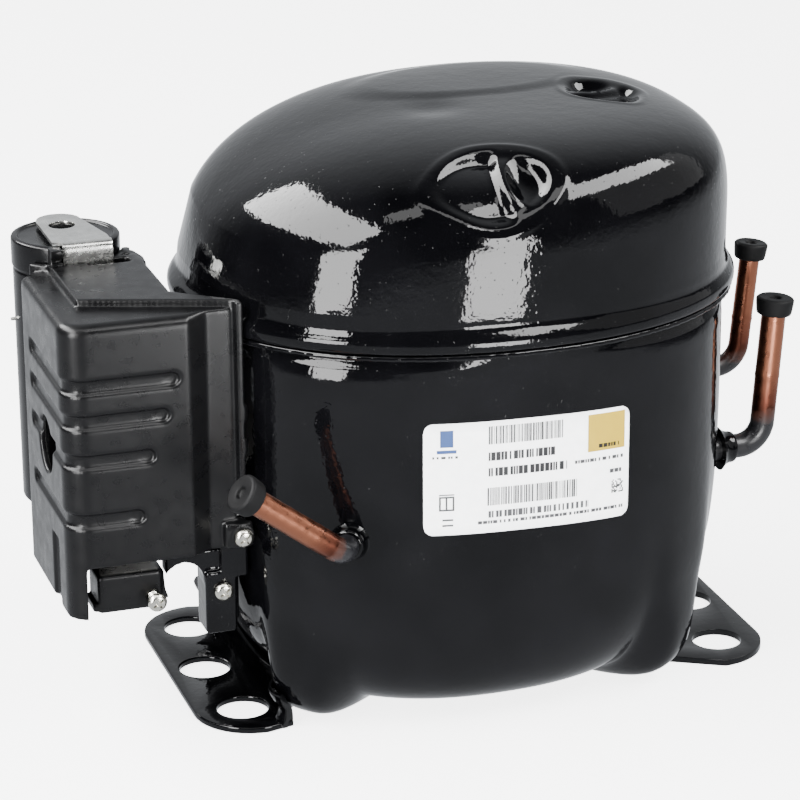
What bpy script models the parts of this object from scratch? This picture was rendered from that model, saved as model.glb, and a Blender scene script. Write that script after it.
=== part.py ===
"""Hermetic reciprocating compressor: a welded oval steel shell on two base plates, with a sprung pump.

The part stands on z = 0. Its origin is the centre of the base plates' hole pattern, +X runs towards the
suction and discharge tubes, and -X towards the terminal cover. Sizes are in millimetres, and MM turns them
into metres.
"""

import math

import bmesh
import bpy
from mathutils import Matrix, Vector

MM = 0.001
GAP = 0.3

# Housing: the plan is a superellipse, half length along X and half width along Y.
WALL = 2.8
SEGMENTS = 48
LOWER_PLAN = (88.0, 77.4, 2.55)
UPPER_PLAN = (90.4, 79.0, 2.3)
SKIRT_PLAN = (95.0, 81.4, 2.15)
RIM_PLAN = (91.6, 78.0, 2.15)
BOTTOM_Z = 3.2
BODY_START_Z = 131.0
RIM_Z = 135.4
SKIRT_Z = 132.6
DOME_Z = 137.5
DOME_HEIGHT = 56.7
DOME_START_Z = 144.5
CROWN_SHIFT = 14.0
FOOT_DROP = 2.7
FOOT_SPREAD = 0.05
FOOT_FULLNESS = 4.2
FOOT_WIDTH = 0.14
FOOT_ANGLES = (45, 144, 216, 315)
SIDE_TAPER = 0.07
DOME_RISES = (0.27, 0.4, 0.52, 0.64, 0.74, 0.83, 0.9, 0.95, 0.985, 0.998)
BODY_DEPTHS = (0.08, 0.3, 0.5, 0.65, 0.77, 0.86, 0.9, 0.935, 0.963, 0.985)

# Base plates
HOLE_X = 85.0
HOLE_Y = 35.0
MIDDLE_HOLE_X = 88.6
HOLE_RADIUS = 8.5
PLATE_THICKNESS = 2.2
PLATE_EDGE_X = 101.0
PLATE_END_Y = 52.5
PLATE_CORNER = 20.0
FLANGE_END = 35.0
FLANGE_HEIGHT = 13.0

# Pump and motor
SHAFT_X = -6.0
SHAFT_RADIUS = 8.0
CRANK_THROW = 6.65
ROD_LENGTH = 43.0
CYLINDER_Z = 152.0
BORE_RADIUS = 13.45
FACE_X = 56.0
CROWN_CLEARANCE = 1.6
PISTON_LENGTH = 21.5
STATOR_HALF = 52.0
STATOR_Z = (40.0, 90.0)
STATOR_BORE = 30.0
PIN_X = SHAFT_X + CRANK_THROW
WRIST_X = PIN_X + ROD_LENGTH
SPRING_X = (-46.0, 34.0)
SPRING_Y = 40.0

# Terminal cover and what is on it
COVER_LEFT = -143.0
COVER_FRONT = -45.0
COVER_BACK = 18.0
COVER_WALL = 2.2
COVER_CORNER = 8.0
FRONT_BOTTOM_Z = 62.0
SIDE_BOTTOM_Z = 44.5
LIP_BOTTOM_Z = 82.5
ROOF_Z = 143.0
PLATFORM_Z = 145.5
GROOVE_Z = (78.0, 97.0, 111.0, 122.0)
GROOVE_END_X = (-117.0, -113.0, -108.0, -104.6)
CAPACITOR_X = -123.5
CAPACITOR_Y = 33.5
CAPACITOR_RADIUS = 18.0
CAPACITOR_Z = (57.0, 150.2)

CAPACITOR_FOOT = (CAPACITOR_X, CAPACITOR_Y, 30.0)
CAPACITOR_HEAD = (CAPACITOR_X, CAPACITOR_Y, 170.0)

# Tubes: outer radius, where they leave the shell, and where the open end is.
SUCTION_RADIUS = 4.15
DISCHARGE_RADIUS = 3.5
PROCESS_RADIUS = 4.1
BEND_RADIUS = 9.0


def clear_scene():
    for obj in list(bpy.data.objects):
        bpy.data.objects.remove(obj, do_unlink=True)


def new_collection(name):
    collection = bpy.data.collections.new(name)
    bpy.context.scene.collection.children.link(collection)
    return collection


def new_material(name, colour, roughness, metallic):
    material = bpy.data.materials.new(name)
    material.use_nodes = True
    shader = material.node_tree.nodes["Principled BSDF"]
    shader.inputs["Base Color"].default_value = (*colour, 1.0)
    shader.inputs["Roughness"].default_value = roughness
    shader.inputs["Metallic"].default_value = metallic
    return material


clear_scene()
PARTS = new_collection("hermetic_compressor")
CUTTERS = new_collection("cutters")

BLACK_PAINT = new_material("black_paint", (0.006, 0.006, 0.007), 0.12, 0.0)
BLACK_PLASTIC = new_material("black_plastic", (0.012, 0.012, 0.013), 0.5, 0.0)
BLACK_RUBBER = new_material("black_rubber", (0.01, 0.01, 0.01), 0.75, 0.0)
COPPER = new_material("copper", (0.55, 0.25, 0.16), 0.32, 1.0)
ZINC = new_material("zinc_plate", (0.72, 0.71, 0.68), 0.3, 1.0)
LABEL_WHITE = new_material("label_white", (0.86, 0.86, 0.86), 0.4, 0.0)
CAST_IRON = new_material("cast_iron", (0.16, 0.16, 0.165), 0.55, 1.0)
STEEL = new_material("machined_steel", (0.55, 0.55, 0.56), 0.3, 1.0)
LAMINATION = new_material("lamination_steel", (0.25, 0.26, 0.28), 0.45, 1.0)
WINDING = new_material("enamelled_winding", (0.45, 0.14, 0.05), 0.35, 0.4)
ALUMINIUM = new_material("die_cast_aluminium", (0.6, 0.6, 0.61), 0.4, 1.0)
GASKET = new_material("gasket", (0.12, 0.11, 0.09), 0.8, 0.0)
WHITE_PLASTIC = new_material("white_plastic", (0.75, 0.74, 0.7), 0.5, 0.0)


def link(name, data, material, origin=(0, 0, 0), cutter=False):
    """An object holding mesh data given in world millimetres, with its origin at the given point."""
    shift = Vector(origin)
    for vertex in data.vertices:
        vertex.co = (vertex.co - shift) * MM
    if material:
        data.materials.append(material)
    obj = bpy.data.objects.new(name, data)
    obj.location = shift * MM
    (CUTTERS if cutter else PARTS).objects.link(obj)
    obj.hide_render = cutter
    if cutter:
        obj.display_type = "WIRE"
    return obj


def mesh_from(bm, name):
    bmesh.ops.recalc_face_normals(bm, faces=bm.faces)
    data = bpy.data.meshes.new(name)
    bm.to_mesh(data)
    bm.free()
    data.shade_smooth()
    data.set_sharp_from_angle(angle=math.radians(35))
    return data


def bevel(obj, width, segments=2, angle=40):
    modifier = obj.modifiers.new("bevel", "BEVEL")
    modifier.width = width * MM
    modifier.segments = segments
    modifier.limit_method = "ANGLE"
    modifier.angle_limit = math.radians(angle)
    return obj


def block(name, low, high, material=None, rounding=0.0, origin=(0, 0, 0), cutter=False):
    bm = bmesh.new()
    bmesh.ops.create_cube(bm, size=1.0)
    low, high = Vector(low), Vector(high)
    for vertex in bm.verts:
        vertex.co = Vector((low[i] + (high[i] - low[i]) * (vertex.co[i] + 0.5) for i in range(3)))
    obj = link(name, mesh_from(bm, name), material, origin, cutter)
    return bevel(obj, rounding) if rounding else obj


def rod(
    name, start, end, radius, material=None, segments=20, end_radius=None, origin=(0, 0, 0), cutter=False
):
    """A cylinder or cone from start to end."""
    start, end = Vector(start), Vector(end)
    bm = bmesh.new()
    turn = (end - start).to_track_quat("Z", "X").to_matrix().to_4x4()
    place = Matrix.Translation((start + end) / 2) @ turn
    last = radius if end_radius is None else end_radius
    length = (end - start).length
    bmesh.ops.create_cone(
        bm, cap_ends=True, segments=segments, radius1=radius, radius2=last, depth=length, matrix=place
    )
    return link(name, mesh_from(bm, name), material, origin, cutter)


def turned(name, profile, base, direction, material, steps=24, closed=False, origin=None, cutter=False):
    """A profile of (radius, height) points, top to bottom down its outer side, turned about an axis."""
    data = bpy.data.meshes.new(name)
    points = [(radius * MM, 0.0, height * MM) for radius, height in profile]
    edges = [(i, i + 1) for i in range(len(points) - 1)]
    if closed:
        edges.append((len(points) - 1, 0))
    data.from_pydata(points, edges, [])
    if material:
        data.materials.append(material)
    obj = bpy.data.objects.new(name, data)
    obj.location = Vector(base) * MM
    obj.rotation_euler = Vector(direction).to_track_quat("Z", "X").to_euler()
    (CUTTERS if cutter else PARTS).objects.link(obj)
    obj.hide_render = cutter
    screw = obj.modifiers.new("screw", "SCREW")
    screw.steps = screw.render_steps = steps
    screw.use_merge_vertices = True
    screw.merge_threshold = 0.00001
    return obj


def ball(name, centre, radius):
    bm = bmesh.new()
    place = Matrix.Translation(centre)
    bmesh.ops.create_uvsphere(bm, u_segments=32, v_segments=20, radius=radius, matrix=place)
    return link(name, mesh_from(bm, name), None, cutter=True)


def outline_plate(name, outline, low_z, high_z, material=None, holes=(), cutter=False):
    """A flat plate from a 2D outline, with round holes as (x, y, radius)."""
    curve = bpy.data.curves.new(name, "CURVE")
    curve.dimensions = "2D"
    curve.fill_mode = "BOTH"
    curve.extrude = (high_z - low_z) / 2 * MM
    rounds = [[(x + r * math.cos(a), y + r * math.sin(a)) for a in circle_angles(20)] for x, y, r in holes]
    for points in [outline, *rounds]:
        spline = curve.splines.new("POLY")
        spline.points.add(len(points) - 1)
        for target, (x, y) in zip(spline.points, points):
            target.co = (x * MM, y * MM, 0.0, 1.0)
        spline.use_cyclic_u = True
    flat = bpy.data.objects.new(name + "_outline", curve)
    PARTS.objects.link(flat)
    flat.location.z = (low_z + high_z) / 2 * MM
    return to_mesh(flat, name, material, cutter)


def to_mesh(flat, name, material=None, cutter=False):
    """Turns a curve object into a mesh object with welded caps."""
    bpy.context.view_layer.update()
    data = bpy.data.meshes.new_from_object(flat.evaluated_get(bpy.context.evaluated_depsgraph_get()))
    bm = bmesh.new()
    bm.from_mesh(data)
    bmesh.ops.remove_doubles(bm, verts=bm.verts, dist=0.00001)
    bmesh.ops.recalc_face_normals(bm, faces=bm.faces)
    bm.to_mesh(data)
    bm.free()
    obj = bpy.data.objects.new(name, data)
    obj.matrix_world = flat.matrix_world.copy()
    bpy.data.objects.remove(flat, do_unlink=True)
    if material:
        data.materials.append(material)
    (CUTTERS if cutter else PARTS).objects.link(obj)
    obj.hide_render = cutter
    if cutter:
        obj.display_type = "WIRE"
    return obj


def pipe(name, points, radius, material, resolution=2):
    """A solid round wire or tube along points, as a poly curve with a bevel."""
    curve = bpy.data.curves.new(name, "CURVE")
    curve.dimensions = "3D"
    curve.bevel_depth = radius * MM
    curve.bevel_resolution = resolution
    curve.use_fill_caps = True
    spline = curve.splines.new("POLY")
    spline.points.add(len(points) - 1)
    for target, point in zip(spline.points, points):
        target.co = (*(Vector(point) * MM), 1.0)
    curve.materials.append(material)
    obj = bpy.data.objects.new(name, curve)
    PARTS.objects.link(obj)
    return obj


def combine(obj, others, operation):
    for other in others:
        if other.name not in CUTTERS.objects:
            PARTS.objects.unlink(other)
            CUTTERS.objects.link(other)
        other.hide_render = True
        other.display_type = "WIRE"
        modifier = obj.modifiers.new(operation.lower() + "_" + other.name, "BOOLEAN")
        modifier.operation = operation
        modifier.object = other
        modifier.solver = "EXACT"
    return obj


def cut(obj, *others):
    return combine(obj, others, "DIFFERENCE")


def fuse(obj, *others):
    return combine(obj, others, "UNION")


def circle_angles(count):
    return [2 * math.pi * i / count for i in range(count)]


def plan_point(plan, angle, scale=1.0):
    """The point of a superellipse (half length, half width, exponent) in the direction of an angle."""
    a, b, n = plan
    c, s = math.cos(angle), math.sin(angle)
    radius = (abs(c / a) ** n + abs(s / b) ** n) ** (-1 / n) * scale
    return radius * c, radius * s


def grown(plan, extra):
    return plan[0] + extra, plan[1] + extra, plan[2]


def near_foot(angle):
    """1 at the middle of a foot bulge, falling to 0 beside it."""
    near = 0.0
    for degrees in FOOT_ANGLES:
        turn = (angle - math.radians(degrees) + math.pi) % (2 * math.pi) - math.pi
        near = max(near, math.exp(-((turn / FOOT_WIDTH) ** 4)))
    return near


def lower_scale(angle, z):
    """How far the lower housing has drawn in at height z, as a share of its plan."""
    depth = min(max((BODY_START_Z - z) / (BODY_START_Z - foot_bottom(angle)), 0.0), 0.999)
    exponent = 6.0 - 0.7 * math.cos(angle) - 1.2 * math.cos(2 * angle) + FOOT_FULLNESS * near_foot(angle)
    swell = min(max((depth - 0.75) / 0.2, 0.0), 1.0)
    taper = SIDE_TAPER * min(max((depth - 0.66) / 0.3, 0.0), 1.0) * max(math.cos(angle), 0.0) ** 2
    spread = FOOT_SPREAD * near_foot(angle) * swell
    return (1 - depth**exponent) ** (1 / exponent) * (1 + spread - taper)


def lower_radius(angle, z):
    return math.hypot(*plan_point(LOWER_PLAN, angle, lower_scale(angle, z)))


def foot_bottom(angle):
    return BOTTOM_Z - FOOT_DROP * near_foot(angle)


def dome_exponent(angle):
    return 3.94 + 0.58 * math.cos(angle) - 0.68 * math.cos(2 * angle)


def lofted(name, rings, material=None, cutter=False, closed_ends=True, thickness=0.0):
    """Skins a stack of rings of equal count. Each end closes on its last ring's middle point when asked."""
    bm = bmesh.new()
    rows = [[bm.verts.new(point) for point in ring] for ring in rings]
    for above, below in zip(rows, rows[1:]):
        for i in range(len(above)):
            j = (i + 1) % len(above)
            bm.faces.new((above[i], below[i], below[j], above[j]))
    if closed_ends:
        bm.faces.new(rows[0])
    middle = bm.verts.new(sum((v.co for v in rows[-1]), Vector()) / len(rows[-1]))
    for i in range(len(rows[-1])):
        bm.faces.new((rows[-1][i], middle, rows[-1][(i + 1) % len(rows[-1])]))
    obj = link(name, mesh_from(bm, name), material, cutter=cutter)
    if thickness:
        shell = obj.modifiers.new("wall", "SOLIDIFY")
        shell.thickness = thickness * MM
        shell.offset = -1.0
        shell.use_even_offset = True
    return obj


def plan_ring(plan, z, scale=1.0):
    return [(*plan_point(plan, angle, scale), z) for angle in circle_angles(SEGMENTS)]


def dome_rings(extra=0.0):
    """The dome from its foot to just under its crown, whose middle leans towards +X."""
    rings = []
    for rise in DOME_RISES:
        z = DOME_Z + (DOME_HEIGHT + extra) * rise
        ring = []
        for angle in circle_angles(SEGMENTS):
            exponent = dome_exponent(angle)
            share = (1 - rise**exponent) ** (1 / exponent)
            x, y = plan_point(grown(UPPER_PLAN, extra), angle, share)
            ring.append((x + CROWN_SHIFT * rise**3, y, z))
        rings.append(ring)
    return rings


def body_rings(extra=0.0):
    """The lower housing's body, from under its belled rim to the floor pan."""
    rings = []
    for depth in BODY_DEPTHS:
        ring = []
        for angle in circle_angles(SEGMENTS):
            z = BODY_START_Z - (BODY_START_Z - foot_bottom(angle)) * depth
            x, y = plan_point(grown(LOWER_PLAN, extra), angle, lower_scale(angle, z))
            ring.append((x, y, z - extra * depth))
        rings.append(ring)
    return rings


def housing_envelope(name, extra):
    """The closed outer shape of both housings, grown by a clearance, for cutting their neighbours."""
    rings = [ring for ring in reversed(dome_rings(extra))]
    rings += [plan_ring(grown(UPPER_PLAN, extra), DOME_START_Z)]
    rings += [plan_ring(grown(SKIRT_PLAN, extra), z) for z in (143.0, 130.0)]
    rings += body_rings(extra)
    return lofted(name, rings, cutter=True)


def make_housings():
    upper_rings = [plan_ring(SKIRT_PLAN, z) for z in (SKIRT_Z, 136.6)]
    upper_rings.append(plan_ring(grown(SKIRT_PLAN, -1.4), 138.6))
    upper_rings.append(plan_ring(grown(UPPER_PLAN, 0.8), 141.2))
    upper_rings.append(plan_ring(UPPER_PLAN, DOME_START_Z))
    upper_rings += dome_rings()
    upper = lofted("upper_housing", upper_rings, BLACK_PAINT, closed_ends=False, thickness=WALL)

    cut(
        upper,
        ball("front_dimple", (-2.6, -84.3, 197.6), 22.0),
        ball("side_dimple", (49.2, -9.7, 222.3), 30.0),
    )

    lower_rings = [plan_ring(RIM_PLAN, z) for z in (RIM_Z, 131.5)]
    lower_rings.append(plan_ring(grown(RIM_PLAN, -1.2), 128.5))
    lower_rings.append(plan_ring(grown(LOWER_PLAN, 0.5), 125.0))
    lower_rings += body_rings()
    lower = lofted("lower_housing", lower_rings, BLACK_PAINT, closed_ends=False, thickness=WALL)
    tube_holes = []
    for name, start, end, radius in (
        ("suction_hole", (70, -30, 71), (100, -30, 71), SUCTION_RADIUS),
        ("discharge_hole", (70, 4, 87.5), (100, 4, 87.5), DISCHARGE_RADIUS),
        ("process_hole", PROCESS_INNER, PROCESS_OUTER, PROCESS_RADIUS),
    ):
        tube_holes.append(rod(name, start, end, radius + GAP, segments=14, cutter=True))
    seal_hole = rod("seal_hole", (-100, 0, 92), (-75, 0, 92), 15.6, segments=28, cutter=True)
    cut(lower, seal_hole, *tube_holes)

    bead = []
    for extra, z in ((0.4, 129.6), (1.8, 130.2), (2.6, 131.6), (2.0, 132.3), (0.4, 132.3)):
        bead.append(plan_ring(grown(RIM_PLAN, extra), z))
    ring_solid("weld_bead", bead, BLACK_PAINT)


def ring_solid(name, rings, material):
    """A closed band whose cross-section is the loop of rings."""
    bm = bmesh.new()
    rows = [[bm.verts.new(point) for point in ring] for ring in rings]
    for k, row in enumerate(rows):
        following = rows[(k + 1) % len(rows)]
        for i in range(len(row)):
            j = (i + 1) % len(row)
            bm.faces.new((row[i], row[j], following[j], following[i]))
    return link(name, mesh_from(bm, name), material)


def make_base_plate(name, side):
    """A flat plate with three holes, whose inner edge follows the shell and turns up as a weld flange."""
    holes = [(side * HOLE_X, y, HOLE_RADIUS) for y in (-HOLE_Y, HOLE_Y)]
    holes.append((side * MIDDLE_HOLE_X, 0.0, HOLE_RADIUS))
    corner = PLATE_CORNER
    outline = []
    for end in (-1, 1):
        centre = (side * (PLATE_EDGE_X - corner), end * (PLATE_END_Y - corner))
        points = []
        for step in range(7):
            a = math.pi / 2 * step / 6
            points.append((centre[0] + side * corner * math.sin(a), centre[1] + end * corner * math.cos(a)))
        outline += points[::-1] if end == 1 else points
    foot = math.radians(FLANGE_END)
    count = 14
    turns = [foot - 2 * foot * i / count for i in range(count + 1)]
    for angle in turns:
        radius = lower_radius(angle if side > 0 else math.pi - angle, 6.5) + 0.9
        outline.append((side * radius * math.cos(angle), radius * math.sin(angle)))
    plate = outline_plate(name, outline, 0.0, PLATE_THICKNESS, BLACK_PAINT, holes)

    wall = []
    for height, extra, z in (
        (6.5, 1.6, 0.3),
        (6.5, 1.6, 6.5),
        (9.5, 1.6, 9.5),
        (FLANGE_HEIGHT, 1.6, FLANGE_HEIGHT),
        (FLANGE_HEIGHT, 3.7, FLANGE_HEIGHT),
        (9.5, 3.8, 9.5),
        (6.5, 4.0, 6.5),
        (6.5, 4.0, 0.3),
    ):
        row = []
        for angle in turns:
            radius = lower_radius(angle if side > 0 else math.pi - angle, height) + extra
            row.append((side * radius * math.cos(angle), radius * math.sin(angle), z))
        wall.append(row)
    bm = bmesh.new()
    rows = [[bm.verts.new(point) for point in row] for row in wall]
    for k, row in enumerate(rows):
        following = rows[(k + 1) % len(rows)]
        for i in range(count):
            bm.faces.new((row[i], row[i + 1], following[i + 1], following[i]))
    for i in (0, count):
        bm.faces.new([row[i] for row in rows])
    flange = link(name + "_flange", mesh_from(bm, name), BLACK_PAINT)
    fuse(plate, flange)
    cut(plate, housing_envelope(name + "_clearance", 0.6))


def make_label():
    """The blank rating label, a thin sheet on the shell's front."""
    bm = bmesh.new()
    left, right, low, high, slope = -35.0, 34.7, 71.6, 109.3, -1.4
    columns = 10
    grid = []
    for z in (low, high):
        row = []
        for i in range(columns + 1):
            x = left + (right - left) * i / columns
            depth = LOWER_PLAN[1] * (1 - abs(x / LOWER_PLAN[0]) ** LOWER_PLAN[2]) ** (1 / LOWER_PLAN[2])
            row.append(bm.verts.new((x, -depth - GAP, z + slope * i / columns)))
        grid.append(row)
    for i in range(columns):
        bm.faces.new((grid[0][i], grid[0][i + 1], grid[1][i + 1], grid[1][i]))
    sheet = link("rating_label", mesh_from(bm, "rating_label"), LABEL_WHITE)
    wall = sheet.modifiers.new("wall", "SOLIDIFY")
    wall.thickness = 0.35 * MM
    wall.offset = 1.0
    return sheet


def bend_points(start, corner, end, radius, steps=7):
    """A path from start to end that rounds its corner with a circular bend."""
    start, corner, end = Vector(start), Vector(corner), Vector(end)
    into = (start - corner).normalized()
    out = (end - corner).normalized()
    half = into.angle(out) / 2
    back = radius / math.tan(half)
    centre = corner + (into + out).normalized() * (radius / math.sin(half))
    first = corner + into * back - centre
    last = corner + out * back - centre
    sweep = first.angle(last)
    points = [start]
    for i in range(steps + 1):
        share = i / steps
        low, high = math.sin((1 - share) * sweep), math.sin(share * sweep)
        points.append(centre + (first * low + last * high) / math.sin(sweep))
    return points + [end]


PROCESS_OUTER = (-60.5, -72.4, 69.5)
PROCESS_INNER = (-52.5, -58.5, 69.5)
PROCESS_CORNER = (-61.8, -74.7, 69.5)
PROCESS_END = (-94.4, -81.0, 95.2)
SUCTION_PATH = ((81.5, -30, 71), (101.2, -30, 71), (105.0, -30, 120.2))
DISCHARGE_PATH = ((84.0, 4, 87.5), (106.6, 4, 87.5), (110.8, 4, 129.2))


def plug(name, tip, away, radius):
    """A push-on rubber stopper with a recess in its end, over a tube's open end."""
    tip, away = Vector(tip), Vector(away).normalized()
    profile = [
        (0.0, 4.6),
        (1.4, 4.6),
        (1.9, 6.0),
        (radius + 1.8, 6.0),
        (radius + 2.4, 5.3),
        (radius + 2.2, 0.6),
        (radius + 1.7, 0.0),
        (radius + 0.4, 0.0),
        (radius + 0.4, 3.4),
        (0.0, 3.4),
    ]
    return turned(name, profile, tip - away * 3.0, away, BLACK_RUBBER, steps=20)


def make_tubes():
    for name, path, radius in (
        ("suction_tube", SUCTION_PATH, SUCTION_RADIUS),
        ("discharge_tube", DISCHARGE_PATH, DISCHARGE_RADIUS),
        ("process_tube", (PROCESS_INNER, PROCESS_CORNER, PROCESS_END), PROCESS_RADIUS),
    ):
        start, corner, end = path
        bend = 5.0 if name == "process_tube" else BEND_RADIUS
        pipe(name, bend_points(start, corner, end, bend), radius, COPPER, resolution=3)
        plug(name.replace("tube", "plug"), end, Vector(end) - Vector(corner), radius)


def arc_points(x, y, radius, first, last, steps):
    turns = [math.radians(first + (last - first) * i / steps) for i in range(steps + 1)]
    return [(x + radius * math.cos(a), y + radius * math.sin(a)) for a in turns]


def cover_outline(inset):
    """The cover's plan. Its right side stands clear of the shell, and its front right edge is a lip."""
    left, front, corner = COVER_LEFT, COVER_FRONT, COVER_CORNER
    points = [(-102.4, front + inset)]
    points += arc_points(left + corner, front + corner, corner - inset, 270, 180, 4)
    if inset:
        points += [(left + inset, COVER_BACK - inset), (-75.0, COVER_BACK - inset)]
        return points + [(-75.0, -38.9), (-95.6, -38.9)]
    points += [(left, 14.0), (left + 4, COVER_BACK), (-102.5, COVER_BACK), (-102.5, -25.3), (-84.3, -41.2)]
    return points + [(-84.3, -44.0), (-86.5, -44.0), (-86.5, -41.0), (-95.6, -41.0)]


def make_cover():
    """The terminal cover: a hollow box, open towards the shell, with a saddle for the capacitor."""
    cover = outline_plate("terminal_cover", cover_outline(0.0), SIDE_BOTTOM_Z, ROOF_Z, BLACK_PLASTIC)
    platform = [(-133.5, 15.3), (-130.3, COVER_BACK - 0.5), (-104.0, COVER_BACK - 0.5), (-103.0, 6.9)]
    platform += [(-103.0, -25.0), (-86.0, -39.6), (-86.0, -40.5), (-133.3, -24.8)]
    roof = outline_plate("cover_platform", platform, ROOF_Z - 2, PLATFORM_Z)
    tab = block("cover_tab", (-92.0, -43.0, FRONT_BOTTOM_Z - 1), (-81.8, -40.9, 71.0), cutter=True)
    hollow_outline = cover_outline(COVER_WALL)
    hollow = outline_plate("cover_hollow", hollow_outline, 30.0, ROOF_Z - COVER_WALL, cutter=True)
    fuse(cover, roof)
    cut(cover, hollow)
    saddle_arc = arc_points(CAPACITOR_X, CAPACITOR_Y, CAPACITOR_RADIUS + 3.2, 222, 345, 10)
    saddle_arc += arc_points(CAPACITOR_X, CAPACITOR_Y, CAPACITOR_RADIUS - 1.0, 345, 222, 10)
    saddle = outline_plate("cover_saddle", saddle_arc, FRONT_BOTTOM_Z, PLATFORM_Z - 0.7)
    hook_low, hook_high = (-133.2, 10.8, PLATFORM_Z - 3.0), (-129.2, 15.8, PLATFORM_Z + 5.5)
    hook = block("strap_hook", hook_low, hook_high, cutter=True)
    fuse(cover, saddle, tab, hook)
    grooves = []
    for i, (z, end) in enumerate(zip(GROOVE_Z, GROOVE_END_X)):
        band = [(end, COVER_FRONT - 3), (COVER_LEFT - 3, COVER_FRONT - 3), (COVER_LEFT - 3, 2.5)]
        band += [(COVER_LEFT + 0.9, 2.5)]
        corner = COVER_CORNER
        band += arc_points(COVER_LEFT + corner, COVER_FRONT + corner, corner - 0.9, 180, 270, 4)
        band.append((end, COVER_FRONT + 0.9))
        grooves.append(outline_plate("cover_groove_%d" % i, band, z - 3, z + 3, cutter=True))
    low, far = SIDE_BOTTOM_Z - 8, -70.0
    notch_low, notch_high = (COVER_LEFT - 3, -29, 45), (COVER_LEFT + 1.0, -11, 67)
    window_left, window_right = (COVER_LEFT - 5, -15, 95), (COVER_LEFT + 5, -15, 95)
    room = CAPACITOR_RADIUS + GAP
    cut(
        cover,
        *grooves,
        block("under_front", (-137.2, -55, low), (far, -30, FRONT_BOTTOM_Z), cutter=True),
        block("under_right", (-106.0, -30, low), (far, 30, 68.0), cutter=True),
        block("under_lip", (-86.9, -50, 71.5), (far, -35, LIP_BOTTOM_Z), cutter=True),
        block("low_lip", (-87.2, -50, low), (far, -43.0, LIP_BOTTOM_Z), cutter=True),
        block("side_recess", notch_low, notch_high, cutter=True),
        rod("side_window", window_left, window_right, 9.5, segments=20, cutter=True),
        rod("capacitor_room", CAPACITOR_FOOT, CAPACITOR_HEAD, room, segments=40, cutter=True),
        block("strap_slot", (-128.9, 11.6, ROOF_Z - 6), (-107.5, 15.6, PLATFORM_Z + 6), cutter=True),
        rod("cover_screw_hole", (-85.6, -50, 66), (-85.6, -30, 66), 2.3, segments=12, cutter=True),
        housing_envelope("shell_clearance", 0.8),
    )
    return cover


def rounded_rectangle(left, right, front, back, corner):
    points = []
    for x, y, first in (
        (right - corner, front + corner, 270),
        (right - corner, back - corner, 0),
        (left + corner, back - corner, 90),
        (left + corner, front + corner, 180),
    ):
        for step in range(0, 91, 30):
            a = math.radians(first + step)
            points.append((x + corner * math.cos(a), y + corner * math.sin(a)))
    return points


def screw_profile(radius, head_radius, head_height, length):
    """A pan head with a short recess, on a plain shank, head up, seat at height 0."""
    return [
        (0.0, head_height * 0.45),
        (head_radius * 0.3, head_height * 0.45),
        (head_radius * 0.42, head_height),
        (head_radius * 0.75, head_height * 0.9),
        (head_radius, head_height * 0.35),
        (head_radius, 0.0),
        (radius, 0.0),
        (radius, -length + radius * 0.6),
        (radius * 0.4, -length),
        (0.0, -length),
    ]


def make_terminals():
    """The glass-sealed terminal in the shell's side, its pins, and what plugs onto them under the cover."""
    seal = [(0.0, 6.0), (9.0, 6.0), (9.0, 3.5), (15.2, 3.5)]
    seal += [(15.2, -3.5), (13.0, -3.5), (13.0, 1.0), (0.0, 1.0)]
    turned("terminal_seal", seal, (-88.5, 0, 92), (-1, 0, 0), STEEL, steps=28)
    seal_holes = []
    for number, degrees in enumerate((90, 210, 330), start=1):
        a = math.radians(degrees)
        y, z = 5.4 * math.cos(a), 92 + 5.4 * math.sin(a)
        seal_holes.append(
            rod("pin_hole_%d" % number, (-110, y, z), (-60, y, z), 1.5, segments=10, cutter=True)
        )
        rod("terminal_pin_%d" % number, (-101, y, z), (-80, y, z), 1.15, STEEL, segments=10)
    cut(bpy.data.objects["terminal_seal"], *seal_holes)

    relay = block("start_relay", (-120, -24, 78), (-97, 9.5, 112), WHITE_PLASTIC, rounding=1.5)
    sockets = []
    for number, degrees in enumerate((90, 210, 330), start=1):
        a = math.radians(degrees)
        y, z = 5.4 * math.cos(a), 92 + 5.4 * math.sin(a)
        sockets.append(rod("socket_%d" % number, (-106, y, z), (-90, y, z), 1.6, segments=10, cutter=True))
    cut(relay, *sockets)
    can = [(0.0, 7.0), (9.5, 7.0), (11.0, 5.5), (11.0, 1.5), (12.2, 1.5), (12.2, -6.0), (0.0, -6.0)]
    turned("overload_protector", can, (-106, 0, 127), (-1, 0, 0), BLACK_PLASTIC, steps=24)


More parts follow.
